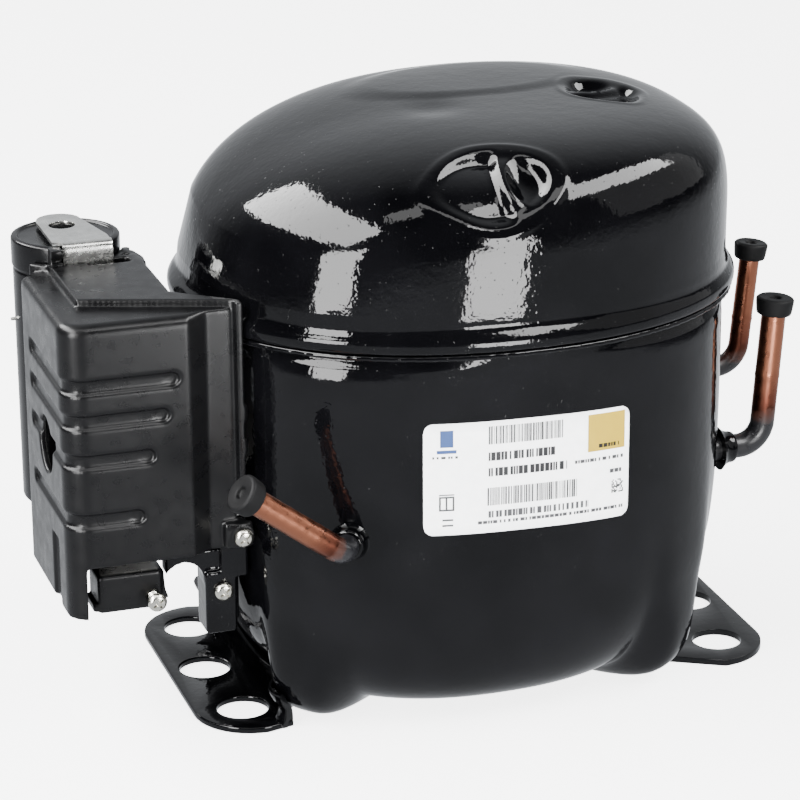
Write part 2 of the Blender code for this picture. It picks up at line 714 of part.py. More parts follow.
def make_bracket():
    """The bracket welded to the shell: a post for the cover's screw and an earth foot below it."""
    post = block("terminal_bracket", (-92.0, -38.4, 50), (-82.2, -33.5, 73), BLACK_PAINT)
    foot = block("bracket_foot", (-97.0, -38.0, 31), (-86.5, -26.0, 53), cutter=True)
    root = block("bracket_root", (-95.0, -33.0, 33), (-78.0, -26.5, 52), cutter=True)
    beam = block("bracket_beam", (-109.8, -36.5, 53.5), (-91.0, -30.0, 60.5), cutter=True)
    fuse(post, foot, root, beam)
    cut(
        post,
        rod("cover_thread", (-85.6, -50, 66), (-85.6, -34.5, 66), 2.1, segments=12, cutter=True),
        rod("earth_thread", (-91.3, -45, 46), (-91.3, -29, 46), 2.1, segments=12, cutter=True),
        bpy.data.objects["shell_clearance"],
    )
    forward = (0, -1, 0)
    cover_profile = screw_profile(1.8, 3.1, 2.2, 6.0)
    earth_profile = screw_profile(1.8, 3.2, 2.2, 7.0)
    turned("cover_screw", cover_profile, (-85.6, -43.0 - GAP, 66), forward, ZINC, steps=14)
    turned("earth_screw", earth_profile, (-91.3, -38.0 - GAP, 46), forward, ZINC, steps=14)

    clamp = block("cord_clamp", (-133.0, -40, 44), (-110.5, -26, 57), BLACK_PLASTIC, rounding=1.0)
    cut(clamp, rod("clamp_thread", (-115.0, -60, 48), (-115.0, -28, 48), 2.1, segments=12, cutter=True))
    turned("clamp_screw", screw_profile(1.75, 3.1, 2.4, 15.0), (-115.0, -44.5, 48), forward, ZINC, steps=14)


def make_capacitor():
    low, high = CAPACITOR_Z
    profile = [
        (0.0, high),
        (CAPACITOR_RADIUS - 1.2, high),
        (CAPACITOR_RADIUS, high - 1.4),
        (CAPACITOR_RADIUS, high - 10.0),
        (CAPACITOR_RADIUS - 0.5, high - 10.5),
        (CAPACITOR_RADIUS - 0.5, low + 1.5),
        (CAPACITOR_RADIUS - 2.0, low),
        (0.0, low),
    ]
    turned("start_capacitor", profile, (CAPACITOR_X, CAPACITOR_Y, 0), (0, 0, 1), BLACK_PLASTIC, steps=36)

    thickness = 1.2
    left, right = CAPACITOR_X - 7.8, CAPACITOR_X + 11.5
    top = high + GAP
    tongue = [(left, 16.5), (right, 16.5), (right, 24.0)]
    tongue += arc_points(CAPACITOR_X - 0.1, 43.0, 7.4, 5, 175, 10) + [(left + 0.2, 40.0)]
    hole = (CAPACITOR_X - 0.3, 36.9, 4.4)
    strap = outline_plate("capacitor_strap", tongue, top, top + thickness, ZINC, holes=[hole])
    upper = top + thickness
    outer = [(13.4, ROOF_Z - 4.0), (13.4, high - 0.2), (13.7, high + 1.0), (14.6, upper + 0.4)]
    outer += [(15.8, upper + 0.6), (16.9, upper + 0.3), (17.8, upper - 0.1), (17.8, top + 0.1)]
    inner = [(16.4, top + 0.1), (15.6, top + 0.3), (14.9, high), (14.6, high - 1.0)]
    extruded("strap_fold", outer + inner + [(14.6, ROOF_Z - 4.0)], left + 3.0, right - 0.1)
    fuse(strap, bpy.data.objects["strap_fold"])


def extruded(name, outline, low_x, high_x, material=None):
    """A flat outline in (y, z) drawn out along X."""
    bm = bmesh.new()
    face = bm.faces.new([bm.verts.new((low_x, y, z)) for y, z in outline])
    drawn = bmesh.ops.extrude_face_region(bm, geom=[face])
    moved = [item for item in drawn["geom"] if isinstance(item, bmesh.types.BMVert)]
    bmesh.ops.translate(bm, verts=moved, vec=(high_x - low_x, 0, 0))
    return link(name, mesh_from(bm, name), material)


def make_motor():
    low, high = STATOR_Z
    half = STATOR_HALF
    outline = rounded_rectangle(SHAFT_X - half, SHAFT_X + half, -half, half, 14.0)
    outline_plate("stator_core", outline, low, high, LAMINATION, holes=[(SHAFT_X, 0, STATOR_BORE)])
    for name, bottom, top in (("upper_winding", high + GAP, 108.0), ("lower_winding", 22.0, low - GAP)):
        soft = 4.0
        loop = []
        for radius, z, first in (
            (45.5 - soft, top - soft, 90),
            (45.5 - soft, bottom + soft, 0),
            (32.0 + soft, bottom + soft, 270),
            (32.0 + soft, top - soft, 180),
        ):
            for step in (0, 45, 90):
                a = math.radians(first - step)
                loop.append((radius + soft * math.cos(a), z + soft * math.sin(a)))
        turned(name, loop, (SHAFT_X, 0, 0), (0, 0, 1), WINDING, steps=28, closed=True)
    turned(
        "rotor",
        [
            (STATOR_BORE - 0.5, high + 2),
            (STATOR_BORE - 0.5, low - 2),
            (SHAFT_RADIUS + GAP, low - 2),
            (SHAFT_RADIUS + GAP, high + 2),
        ],
        (SHAFT_X, 0, 0),
        (0, 0, 1),
        ALUMINIUM,
        steps=32,
        closed=True,
    )


def make_crankshaft():
    web_z = (133.8, 138.0)
    pin_top = CYLINDER_Z - 4.0 - 0.4
    shaft = turned(
        "crankshaft",
        [
            (0.0, web_z[1]),
            (15.0, web_z[1]),
            (15.0, web_z[0]),
            (SHAFT_RADIUS, web_z[0]),
            (SHAFT_RADIUS, 31.0),
            (0.0, 31.0),
        ],
        (SHAFT_X, 0, 0),
        (0, 0, 1),
        STEEL,
        steps=24,
    )
    crankpin = rod("crankpin", (PIN_X, 0, web_z[0] + 1), (PIN_X, 0, pin_top), 7.0, segments=20, cutter=True)
    fuse(shaft, crankpin)

    arc = []
    for radius, degrees in ((24.0, range(95, 266, 19)), (SHAFT_RADIUS + GAP, range(265, 94, -19))):
        for step in degrees:
            a = math.radians(step)
            arc.append((SHAFT_X + radius * math.cos(a), radius * math.sin(a)))
    outline_plate("counterweight", arc, 125.0, web_z[0] - GAP, CAST_IRON)
    pickup = [(0.0, 31.0 - GAP), (6.0, 31.0 - GAP), (6.0, 24.0), (3.0, 14.0), (0.0, 14.0)]
    pickup = turned("oil_pickup", pickup, (SHAFT_X, 0, 0), (0, 0, 1), STEEL, steps=16)
    cut(pickup, rod("oil_way", (SHAFT_X, 0, 10), (SHAFT_X, 0, 26), 1.6, segments=10, cutter=True))


def make_cylinder_block():
    """The crankcase: bearing hub, deck, four legs down to the stator, and the cylinder."""
    deck = outline_plate(
        "cylinder_block", rounded_rectangle(SHAFT_X - 47, 50, -47, 47, 12.0), 112.5, 122.0, CAST_IRON
    )
    hub = rod("bearing_hub", (SHAFT_X, 0, 94), (SHAFT_X, 0, 114), 14.0, segments=24, cutter=True)
    cylinder = block("cylinder_body", (20.0, -23, 120), (FACE_X, 23, 173), cutter=True)
    legs = []
    for i, (x, y) in enumerate([(-1, -1), (-1, 1), (1, -1), (1, 1)]):
        spot = (SHAFT_X + x * 41.0, y * 41.0)
        foot = (*spot, STATOR_Z[1] + GAP)
        legs.append(rod("block_leg_%d" % i, foot, (*spot, 114), 5.0, segments=12, cutter=True))
    fuse(deck, hub, cylinder, *legs)
    bearing, bore = SHAFT_RADIUS + GAP, BORE_RADIUS
    cut(
        deck,
        rod("main_bearing", (SHAFT_X, 0, 80), (SHAFT_X, 0, 130), bearing, segments=24, cutter=True),
        rod("cylinder_bore", (10, 0, CYLINDER_Z), (70, 0, CYLINDER_Z), bore, segments=32, cutter=True),
    )
    return deck


def head_bolt_places():
    return [(y, z) for y in (-17.5, 17.5) for z in (CYLINDER_Z - 16.5, CYLINDER_Z + 16.5)]


def make_head(deck):
    """Valve plate, reeds, gasket, head and bolts, stacked outwards along +X from the cylinder's face."""
    low, high = (-22.0, CYLINDER_Z - 21.0), (22.0, CYLINDER_Z + 21.0)
    plate_x = FACE_X + GAP
    gasket_x = plate_x + 3.0 + GAP
    head_x = gasket_x + 0.8 + GAP
    head_end = head_x + 13.0
    plate = block("valve_plate", (plate_x, *low), (plate_x + 3.0, *high), STEEL)
    gasket = block("head_gasket", (gasket_x, *low), (gasket_x + 0.8, *high), GASKET)
    head = block("cylinder_head", (head_x, *low), (head_end, *high), ALUMINIUM, rounding=2.0)
    port_z = CYLINDER_Z - 5
    cut(
        plate,
        rod("suction_port", (50, -5, port_z), (65, -5, port_z), 3.0, segments=12, cutter=True),
        rod("discharge_port", (50, 6, port_z), (65, 6, port_z), 2.6, segments=12, cutter=True),
    )
    window_low, window_high = (-13.5, CYLINDER_Z - 12.5), (13.5, CYLINDER_Z + 12.5)
    window = block("gasket_window", (gasket_x - 2, *window_low), (gasket_x + 3, *window_high), cutter=True)
    cut(gasket, window)
    chambers = []
    for name, y in (("suction_chamber", (-13.5, -1.2)), ("discharge_chamber", (1.2, 13.5))):
        chambers.append(
            block(
                name,
                (head_x - 2, y[0], CYLINDER_Z - 12.5),
                (head_x + 9.5, y[1], CYLINDER_Z + 12.5),
                cutter=True,
            )
        )
    cut(head, *chambers)
    for i, (y, z) in enumerate(head_bolt_places(), start=1):
        hole = rod("bolt_hole_%d" % i, (FACE_X - 11, y, z), (90, y, z), 2.2, segments=10, cutter=True)
        for piece in (plate, gasket, head, deck):
            cut(piece, hole)
        turned(
            "head_bolt_%d" % i,
            [(0.0, 3.0), (3.4, 3.0), (3.4, 0.0), (1.9, 0.0), (1.9, -26.0), (0.0, -26.0)],
            (head_end + GAP, y, z),
            (1, 0, 0),
            STEEL,
            steps=10,
        )

    reed(
        "suction_reed", (FACE_X - 0.4, -5), (CYLINDER_Z + 10.0, CYLINDER_Z - 9.0), 3.6, FACE_X - 0.2
    )
    discharge_place = (plate_x + 3.15, 6)
    reed(
        "discharge_reed", discharge_place, (CYLINDER_Z + 10.0, CYLINDER_Z - 8.5), 3.4, plate_x + 3.35
    )


def reed(name, place, span, half_width, hinge_x):
    """A thin spring-steel flap with a rounded tip, hinged along Y at its upper end."""
    x, y = place
    root_z, tip_z = span
    outline = [(root_z, y - half_width), (root_z, y + half_width)]
    for step in range(90, -91, -30):
        a = math.radians(step)
        outline.append((tip_z + half_width - half_width * math.cos(a), y + half_width * math.sin(a)))
    flat = [(x, py, pz) for pz, py in outline]
    bm = bmesh.new()
    face = bm.faces.new([bm.verts.new(point) for point in flat])
    grown_part = bmesh.ops.extrude_face_region(bm, geom=[face])
    moved = [item for item in grown_part["geom"] if isinstance(item, bmesh.types.BMVert)]
    bmesh.ops.translate(bm, verts=moved, vec=(0.3, 0, 0))
    return link(name, mesh_from(bm, name), STEEL, origin=(hinge_x, y, root_z))


def make_piston():
    crown = FACE_X - CROWN_CLEARANCE
    tail = crown - PISTON_LENGTH
    radius = BORE_RADIUS - GAP
    middle = CYLINDER_Z
    wrist = (WRIST_X, 0, middle)
    piston = rod("piston", (tail, 0, middle), (crown, 0, middle), radius, CAST_IRON, 32, origin=wrist)
    slot_low, slot_high = (tail - 5, -10.2, middle - 4.4), (WRIST_X + 8.0, 10.2, middle + 4.4)
    slot = block("piston_slot", slot_low, slot_high, cutter=True)
    pin_low, pin_high = (WRIST_X, 0, middle - 20), (WRIST_X, 0, middle + 20)
    pin_way = rod("wrist_way", pin_low, pin_high, 4.3, segments=16, cutter=True)
    cut(piston, slot, pin_way)
    pin_low, pin_high = (WRIST_X, 0, middle - 11.5), (WRIST_X, 0, middle + 11.5)
    rod("wrist_pin", pin_low, pin_high, 4.0, STEEL, 16, origin=wrist)

    low, high = middle - 4.0, middle + 4.0
    big = rod("connecting_rod", (PIN_X, 0, low), (PIN_X, 0, high), 11.5, ALUMINIUM, 24, origin=wrist)
    small = rod("rod_small_end", (WRIST_X, 0, low), (WRIST_X, 0, high), 7.0, segments=20, cutter=True)
    shank = block("rod_shank", (PIN_X + 8, -4, low + 0.8), (WRIST_X - 4, 4, high - 0.8), cutter=True)
    fuse(big, shank, small)
    cut(
        big,
        rod("big_end_bore", (PIN_X, 0, low - 5), (PIN_X, 0, high + 5), 7.3, segments=20, cutter=True),
        rod("small_end_bore", (WRIST_X, 0, low - 5), (WRIST_X, 0, high + 5), 4.3, segments=16, cutter=True),
    )


def make_mufflers():
    suction = block("suction_muffler", (24, 26.0, 123), (58, 50, 160), WHITE_PLASTIC, rounding=4.0)
    cut(suction, rod("muffler_inlet", (50, 38, 110), (50, 38, 135), 3.0, segments=12, cutter=True))
    can = [(0.0, 150.0), (9.0, 150.0), (12.0, 146.0), (12.0, 124.0), (10.5, 122.3), (0.0, 122.3)]
    turned("discharge_muffler", can, (34, -36.5, 0), (0, 0, 1), STEEL, steps=20)
    route = [(45.0, -44.5, 132), (56, -50, 131), (66, -46, 126), (72, -32, 118)]
    route += [(74, -16, 109), (75, -4, 98), (76.5, 2, 90)]
    route += [(79.0, 4, 87.6), (83.4, 4, 87.5)]
    pipe("discharge_loop", route, 2.4, STEEL, resolution=1)


def make_suspension():
    number = 0
    for x in SPRING_X:
        for y in (-SPRING_Y, SPRING_Y):
            number += 1
            profile = [(0.0, 26.0), (2.6, 26.0), (3.8, 24.0), (3.8, 17.5)]
            profile += [(7.5, 17.5), (7.5, 16.2), (3.0, 12.6), (0.0, 12.6)]
            turned("spring_seat_%d" % number, profile, (x, y, 0), (0, 0, 1), STEEL, steps=14)
            turns, per_turn, radius, wire = 4.0, 12, 6.1, 0.8
            low, high = 17.5 + wire + GAP, STATOR_Z[0] - wire - GAP
            count = int(turns * per_turn)
            coil = []
            for i in range(count + 1):
                a = 2 * math.pi * i / per_turn
                z = low + (high - low) * i / count
                coil.append((x + radius * math.cos(a), y + radius * math.sin(a), z))
            pipe("suspension_spring_%d" % number, coil, wire, STEEL, resolution=0)


make_housings()
make_base_plate("base_plate_left", -1)
make_base_plate("base_plate_right", 1)
make_label()
make_tubes()
make_cover()
make_terminals()
make_bracket()
make_capacitor()
make_motor()
make_crankshaft()
make_head(make_cylinder_block())
make_piston()
make_mufflers()
make_suspension()
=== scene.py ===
import random
from math import cos, exp, hypot, pi, radians, sin, sqrt, tan

import bmesh
import bpy
import numpy as np
from mathutils import Matrix, Vector


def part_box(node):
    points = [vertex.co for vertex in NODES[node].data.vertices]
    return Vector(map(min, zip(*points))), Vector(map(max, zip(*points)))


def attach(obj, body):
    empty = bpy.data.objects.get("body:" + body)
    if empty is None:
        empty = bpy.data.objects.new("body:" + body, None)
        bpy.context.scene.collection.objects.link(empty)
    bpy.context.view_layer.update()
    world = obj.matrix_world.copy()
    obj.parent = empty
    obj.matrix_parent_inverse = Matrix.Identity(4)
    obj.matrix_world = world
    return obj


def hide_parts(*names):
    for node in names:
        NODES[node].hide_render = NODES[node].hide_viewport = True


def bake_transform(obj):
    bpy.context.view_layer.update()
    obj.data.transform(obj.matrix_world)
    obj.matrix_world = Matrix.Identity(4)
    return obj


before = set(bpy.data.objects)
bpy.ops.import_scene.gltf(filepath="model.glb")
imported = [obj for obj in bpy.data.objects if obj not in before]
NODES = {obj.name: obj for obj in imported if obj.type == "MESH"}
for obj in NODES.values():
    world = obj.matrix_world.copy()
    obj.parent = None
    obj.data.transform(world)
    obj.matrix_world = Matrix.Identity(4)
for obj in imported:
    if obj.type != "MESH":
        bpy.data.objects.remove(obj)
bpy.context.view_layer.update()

# Sizes are in millimetres in the CAD model's frame, unless they are said to be in metres.
MM = 0.001

# Points around each shell, and rows up each one.
COLUMNS = 320
DOME_ROWS = 150
BODY_ROWS = 110

# Each plan is a superellipse: half length, half width, exponent.
UPPER_PLAN = (90.4, 79.0, 2.3)
LOWER_PLAN = (88.0, 77.4, 2.55)
WELD_PLAN = (92.9, 79.5, 2.15)

# The dome rises from DOME_Z, its skin starts at DOME_FOOT_Z, and its crown lies CROWN_SHIFT towards +X.
DOME_Z = 137.5
DOME_FOOT_Z = 146.2
DOME_HEIGHT = 55.85
CROWN_SHIFT = 14.0

# The body is measured down from BODY_START_Z, and its skin starts at BODY_TOP_Z, below the rim.
WELD_Z = 131.2
BODY_START_Z = 131.0
BODY_TOP_Z = 123.5
BOTTOM_Z = 3.2

# The body's four feet: drop, spread as a share, added squareness, width in radians, directions in degrees.
# The +X side also draws in low down, by a share.
FOOT_DROP = 2.7
FOOT_SPREAD = 0.05
FOOT_FULLNESS = 4.2
FOOT_WIDTH = 0.14
FOOT_ANGLES = (45, 144, 216, 315)
SIDE_TAPER = 0.07


def node_box(name):
    """A CAD node's lowest and highest corners, in millimetres."""
    low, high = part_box(name)
    return low / MM, high / MM


# ---- materials


def fill(node, **values):
    """Sets inputs of a node by name, with _ for a space."""
    for key, value in values.items():
        node.inputs[key.replace("_", " ")].default_value = value


def measured(tree, place, axis):
    """A position or direction measured along an axis."""
    node = tree.nodes.new("ShaderNodeVectorMath")
    node.operation = "DOT_PRODUCT"
    node.inputs[1].default_value = axis
    tree.links.new(place, node.inputs[0])
    return node.outputs["Value"]


def ranged(tree, value, low, high, to_low, to_high, kind="LINEAR"):
    """A value brought from one range to another, and clamped to it."""
    node = tree.nodes.new("ShaderNodeMapRange")
    node.interpolation_type = kind
    tree.links.new(value, node.inputs["Value"])
    fill(node, From_Min=low, From_Max=high, To_Min=to_low, To_Max=to_high)
    return node.outputs["Result"]


class Shader:
    """A material whose Principled BSDF is fed by procedural nodes on object coordinates."""

    def __init__(self, name, **constants):
        self.material = bpy.data.materials.new(name)
        self.material.use_nodes = True
        self.tree = self.material.node_tree
        self.nodes, self.links = self.tree.nodes, self.tree.links
        self.principled = self.nodes["Principled BSDF"]
        self.place = self.nodes.new("ShaderNodeTexCoord").outputs["Object"]
        fill(self.principled, **constants)

    def stretched(self, scale):
        node = self.nodes.new("ShaderNodeMapping")
        fill(node, Scale=scale)
        self.links.new(self.place, node.inputs["Vector"])
        return node.outputs["Vector"]

    def noise(self, size, detail=2.0, rough=0.5, stretch=None):
        """Noise whose features are about this many millimetres across."""
        node = self.nodes.new("ShaderNodeTexNoise")
        fill(node, Scale=1.0 / (size * MM), Detail=detail, Roughness=rough)
        self.links.new(self.stretched(stretch) if stretch else self.place, node.inputs["Vector"])
        return node.outputs["Fac"]

    def between(self, *span):
        return ranged(self.tree, *span)

    def colours(self, value, stops):
        node = self.nodes.new("ShaderNodeValToRGB")
        ramp = node.color_ramp
        while len(ramp.elements) < len(stops):
            ramp.elements.new(0.5)
        for element, (at, colour) in zip(ramp.elements, stops):
            element.position = at
            element.color = (*colour, 1.0)
        self.links.new(value, node.inputs["Fac"])
        return node.outputs["Color"]

    def link(self, value, socket):
        self.links.new(value, self.principled.inputs[socket])

    def wear(self, value, low, high):
        """Feeds the roughness with noise brought between two levels."""
        self.link(self.between(value, 0.3, 0.7, low, high), "Roughness")

    def blotches(self, value, low, high, colours):
        """Feeds the base colour with a value that fades between two colours."""
        self.link(self.colours(value, [(low, colours[0]), (high, colours[1])]), "Base Color")

    def add(self, first, second, share):
        """The first value and a share of the second."""
        node = self.nodes.new("ShaderNodeMath")
        node.operation = "MULTIPLY_ADD"
        self.links.new(second, node.inputs[0])
        node.inputs[1].default_value = share
        self.links.new(first, node.inputs[2])
        return node.outputs["Value"]

    def bump(self, height, depth, last=None):
        """Bump of this depth in millimetres, on top of the last one."""
        node = self.nodes.new("ShaderNodeBump")
        fill(node, Distance=depth * MM, Strength=1.0)
        self.links.new(height, node.inputs["Height"])
        if last:
            self.links.new(last, node.inputs["Normal"])
        self.links.new(node.outputs["Normal"], self.principled.inputs["Normal"])
        return node.outputs["Normal"]


def paint():
    """Glossy black paint with broad waves, orange peel and a few dust nibs."""
    peel, waves, nib = 0.045, 0.081, 0.05
    shader = Shader("black_gloss_paint", IOR=1.35)
    shader.blotches(shader.noise(30), 0.35, 0.7, ((0.0006, 0.0006, 0.0008), (0.0018, 0.0018, 0.0022)))
    shader.wear(shader.noise(14, 3), 0.03, 0.08)
    broad = shader.bump(shader.noise(6.0, 1.0), waves)
    peeled = shader.bump(shader.noise(1.6, 1.0), peel, broad)
    nibs = shader.between(shader.noise(1.1, 1.0), 0.74, 0.8, 0.0, 1.0)
    shader.bump(nibs, nib, peeled)
    return shader.material


def moulded(name, colour, grain, roughness, depth, ior=1.33):
    """Moulded plastic or rubber with a fine spark-eroded grain."""
    shader = Shader(name, IOR=ior)
    light = tuple(min(c * 1.6, 1) for c in colour)
    shader.blotches(shader.noise(18, 4), 0.3, 0.75, (colour, light))
    shader.wear(shader.noise(5, 4), *roughness)
    coarse = shader.bump(shader.noise(9.0, 2.0), depth * 2)
    shader.bump(shader.noise(grain, 2.0, 0.7), depth, coarse)
    return shader.material


def metal(name, colour, roughness, stretch=None, size=6.0, depth=0.01):
    """Bare or plated metal: blotchy colour, streaked roughness and fine scratches."""
    shader = Shader(name, Metallic=1.0)
    dark = tuple(c * 0.75 for c in colour)
    shader.blotches(shader.noise(size, 4, 0.6), 0.3, 0.65, (dark, colour))
    shader.wear(shader.noise(size * 0.6, 5, 0.6, stretch), *roughness)
    shader.bump(shader.noise(0.7, 3.0, 0.6, stretch), depth)
    return shader.material


def heated_copper(name, axis, start, end):
    """Copper tube that is painted black up to a point along an axis, then heat tinted, then clean."""
    shader = Shader(name)
    place = shader.between(measured(shader.tree, shader.place, axis), start * MM, end * MM, 0.0, 1.0)
    place = shader.add(place, shader.noise(5.0, 4, 0.6), 0.3)
    black, umber = (0.005, 0.005, 0.006), (0.05, 0.02, 0.014)
    rose, clean = (0.18, 0.06, 0.038), (0.37, 0.145, 0.085)
    tints = shader.colours(place, [(0.22, black), (0.34, umber), (0.5, rose), (0.95, clean)])
    shader.link(tints, "Base Color")
    shader.link(shader.between(place, 0.24, 0.4, 0.0, 1.0), "Metallic")
    shader.wear(shader.noise(3.0, 5, 0.65), 0.22, 0.42)
    shader.bump(shader.noise(1.2, 3.0), 0.02)
    return shader.material


def printed(name, colour):
    """Coated label stock or ink, a little uneven."""
    shader = Shader(name, Roughness=0.35)
    shader.blotches(shader.noise(3.0, 3), 0.3, 0.7, (tuple(c * 0.93 for c in colour), colour))
    shader.bump(shader.noise(0.5, 2), 0.004)
    return shader.material


PAINT = paint()
PLASTIC = moulded("black_moulded_plastic", (0.0014, 0.0014, 0.0016), 0.35, (0.24, 0.36), 0.02)
SMOOTH_PLASTIC = moulded("smooth_black_plastic", (0.001, 0.001, 0.0012), 0.8, (0.16, 0.28), 0.008)
RUBBER = moulded("black_rubber", (0.002, 0.002, 0.0022), 0.5, (0.45, 0.65), 0.03, 1.25)
ZINC = metal("zinc_plate", (0.78, 0.78, 0.75), (0.16, 0.34), (1.0, 0.15, 1.0), 5.0, 0.012)
BRIGHT_ZINC = metal("screw_zinc", (0.82, 0.80, 0.72), (0.14, 0.3), None, 1.5, 0.006)
STEEL = metal("machined_steel", (0.55, 0.55, 0.57), (0.22, 0.4), (1.0, 1.0, 6.0))
CAST_IRON = metal("cast_iron", (0.2, 0.2, 0.21), (0.45, 0.7), None, 4.0, 0.08)
LAMINATION = metal("lamination_stack", (0.3, 0.31, 0.34), (0.35, 0.5), (0.05, 0.05, 30.0), 6.0, 0.05)
WINDING = metal("enamelled_wire", (0.48, 0.17, 0.07), (0.25, 0.4), (1.0, 1.0, 8.0), 3.0, 0.12)
ALUMINIUM = metal("cast_aluminium", (0.62, 0.62, 0.63), (0.35, 0.55), None, 4.0, 0.04)
GASKET = moulded("fibre_gasket", (0.09, 0.08, 0.065), 0.6, (0.75, 0.9), 0.04)
WHITE_PLASTIC = moulded("white_plastic", (0.7, 0.68, 0.62), 0.4, (0.4, 0.55), 0.01)
PAPER = printed("label_paper", (0.86, 0.87, 0.88))
INK = printed("label_ink", (0.004, 0.004, 0.005))
GREY_INK = printed("label_grey_ink", (0.03, 0.03, 0.033))
YELLOW_INK = printed("label_yellow", (0.31, 0.21, 0.0))
BLUE_INK = printed("label_blue", (0.008, 0.035, 0.13))

# The CAD nodes that still show, by the start of their names, under their finish.
CAD_LOOKS = (
    (STEEL, ("terminal_seal", "terminal_pin", "crankshaft", "oil_pickup", "wrist_pin", "valve_plate",
             "suction_reed", "discharge_reed", "discharge_muffler", "spring_seat", "head_bolt")),
    (CAST_IRON, ("counterweight", "cylinder_block", "piston")),
    (ALUMINIUM, ("rotor", "connecting_rod", "cylinder_head")),
    (WHITE_PLASTIC, ("start_relay", "suction_muffler")),
    (SMOOTH_PLASTIC, ("overload_protector",)),
    (LAMINATION, ("stator_core",)),
    (WINDING, ("upper_winding", "lower_winding")),
    (GASKET, ("head_gasket",)),
)


# ---- mesh helpers


def new_object(name, data):
    obj = bpy.data.objects.new(name, data)
    bpy.context.scene.collection.objects.link(obj)
    return obj


def from_bmesh(name, bm):
    data = bpy.data.meshes.new(name)
    bm.to_mesh(data)
    bm.free()
    return new_object(name, data)


def piece(name, points, faces, *materials, sharp=None, slots=None):
    """An object from points in millimetres."""
    data = bpy.data.meshes.new(name)
    places = [tuple(p) for p in np.asarray(points, float) * MM]
    data.from_pydata(places, [], [tuple(f) for f in faces])
    for material in materials:
        data.materials.append(material)
    if slots:
        data.polygons.foreach_set("material_index", slots)
    bm = bmesh.new()
    bm.from_mesh(data)
    bmesh.ops.recalc_face_normals(bm, faces=bm.faces)
    bm.to_mesh(data)
    bm.free()
    data.shade_smooth()
    if sharp:
        data.set_sharp_from_angle(angle=radians(sharp))
    return new_object(name, data)


def settle(obj, slot, *nodes, body="housing"):
    """Hands a finished piece to its body and hides the CAD nodes that it stands for; the slot, its finish, is
    not used.
    """
    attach(obj, body)
    if nodes:
        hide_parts(*nodes)


def quads(row_count, columns, closed=True):
    """Quads between neighbouring rows, which go all the way around when closed."""
    faces = []
    for start in range(0, (row_count - 1) * columns, columns):
        above = start + columns
        for i in range(columns if closed else columns - 1):
            j = (i + 1) % columns
            faces.append((start + i, start + j, above + j, above + i))
    return faces


def skin(name, rows, material, cap_first=False, cap_last=False, sharp=None):
    """A surface through rows of equal count, with optional flat fans over its ends."""
    rows = [np.asarray(row, float) for row in rows]
    columns = len(rows[0])
    points = list(np.concatenate(rows))
    faces = quads(len(rows), columns)
    last = (len(rows) - 1) * columns
    for wanted, row, start in ((cap_first, rows[0], 0), (cap_last, rows[-1], last)):
        if wanted:
            points.append(row.mean(0))
            middle = len(points) - 1
            faces += [(start + i, start + (i + 1) % columns, middle) for i in range(columns)]
    return piece(name, points, faces, material, sharp=sharp)


def catmull(points, steps):
    """A smooth path through control points of any dimension."""
    p = np.asarray(points, float)
    p = np.vstack([2 * p[0] - p[1], p, 2 * p[-1] - p[-2]])
    out = []
    for i in range(1, len(p) - 2):
        for step in range(steps):
            t = step / steps
            out.append(
                0.5 * (2 * p[i] + (p[i + 1] - p[i - 1]) * t
                       + (2 * p[i - 1] - 5 * p[i] + 4 * p[i + 1] - p[i + 2]) * t * t
                       + (3 * p[i] - p[i - 1] - 3 * p[i + 1] + p[i + 2]) * t ** 3)
            )
    out.append(p[-2])
    return np.array(out)


def turned(name, profile, base, axis, material, steps):
    """A (radius, height) profile turned about an axis through base."""
    turn = Vector(axis).to_track_quat("Z", "X").to_matrix()
    rows = []
    for radius, height in profile:
        radius = max(radius, 0.001)
        row = []
        for i in range(steps):
            a = 2 * pi * i / steps
            spoke = Vector((radius * cos(a), radius * sin(a), height))
            row.append(Vector(base) + turn @ spoke)
        rows.append(row)
    return skin(name, rows, material, True, True, 30)


def rounded(corners, radius):
    """A profile whose corners, all but the first and last, are rounded off."""
    out = [corners[0]]
    for before, corner, after in zip(corners, corners[1:], corners[2:]):
        a, b, c = (np.array(v, float) for v in (before, corner, after))
        back, on = hypot(*(a - b)), hypot(*(c - b))
        r = min(radius, back * 0.45, on * 0.45)
        start = b + (a - b) / back * r
        end = b + (c - b) / on * r
        for t in (0.0, 0.25, 0.5, 0.75, 1.0):
            out.append(tuple((1 - t) ** 2 * start + 2 * t * (1 - t) * b + t * t * end))
    return out + [corners[-1]]


def bend_path(start, corner, end, radius, steps, straight):
    """A path from start to end that rounds its corner with a circular bend."""
    start, corner, end = Vector(start), Vector(corner), Vector(end)
    into = (start - corner).normalized()
    out = (end - corner).normalized()
    half = into.angle(out) / 2
    back = radius / tan(half)
    centre = corner + (into + out).normalized() * (radius / sin(half))
    enter, leave = corner + into * back, corner + out * back
    first, last = enter - centre, leave - centre
    sweep = first.angle(last)
    points = [start.lerp(enter, i / 4) for i in range(4)]
    for i in range(steps + 1):
        share = i / steps
        spoke = first * sin((1 - share) * sweep) + last * sin(share * sweep)
        points.append(centre + spoke / sin(sweep))
    return points + [leave.lerp(end, (i + 1) / straight) for i in range(straight)]


def swept(name, path, radius, material, sides, swell=None):
    """A round tube along a path, whose radius may change with the distance run."""
    path = [Vector(p) for p in path]
    side = (path[1] - path[0]).orthogonal().normalized()
    rows, run = [], 0.0
    for i, point in enumerate(path):
        ahead = (path[min(i + 1, len(path) - 1)] - path[max(i - 1, 0)]).normalized()
        side = (side - ahead * side.dot(ahead)).normalized()
        up = ahead.cross(side)
        run += (point - path[i - 1]).length if i else 0.0
        r = radius + (swell(run) if swell else 0.0)
        rows.append([point + side * (r * cos(a)) + up * (r * sin(a))
                     for a in np.linspace(0, 2 * pi, sides, endpoint=False)])
    return skin(name, rows, material, True, True, 40)


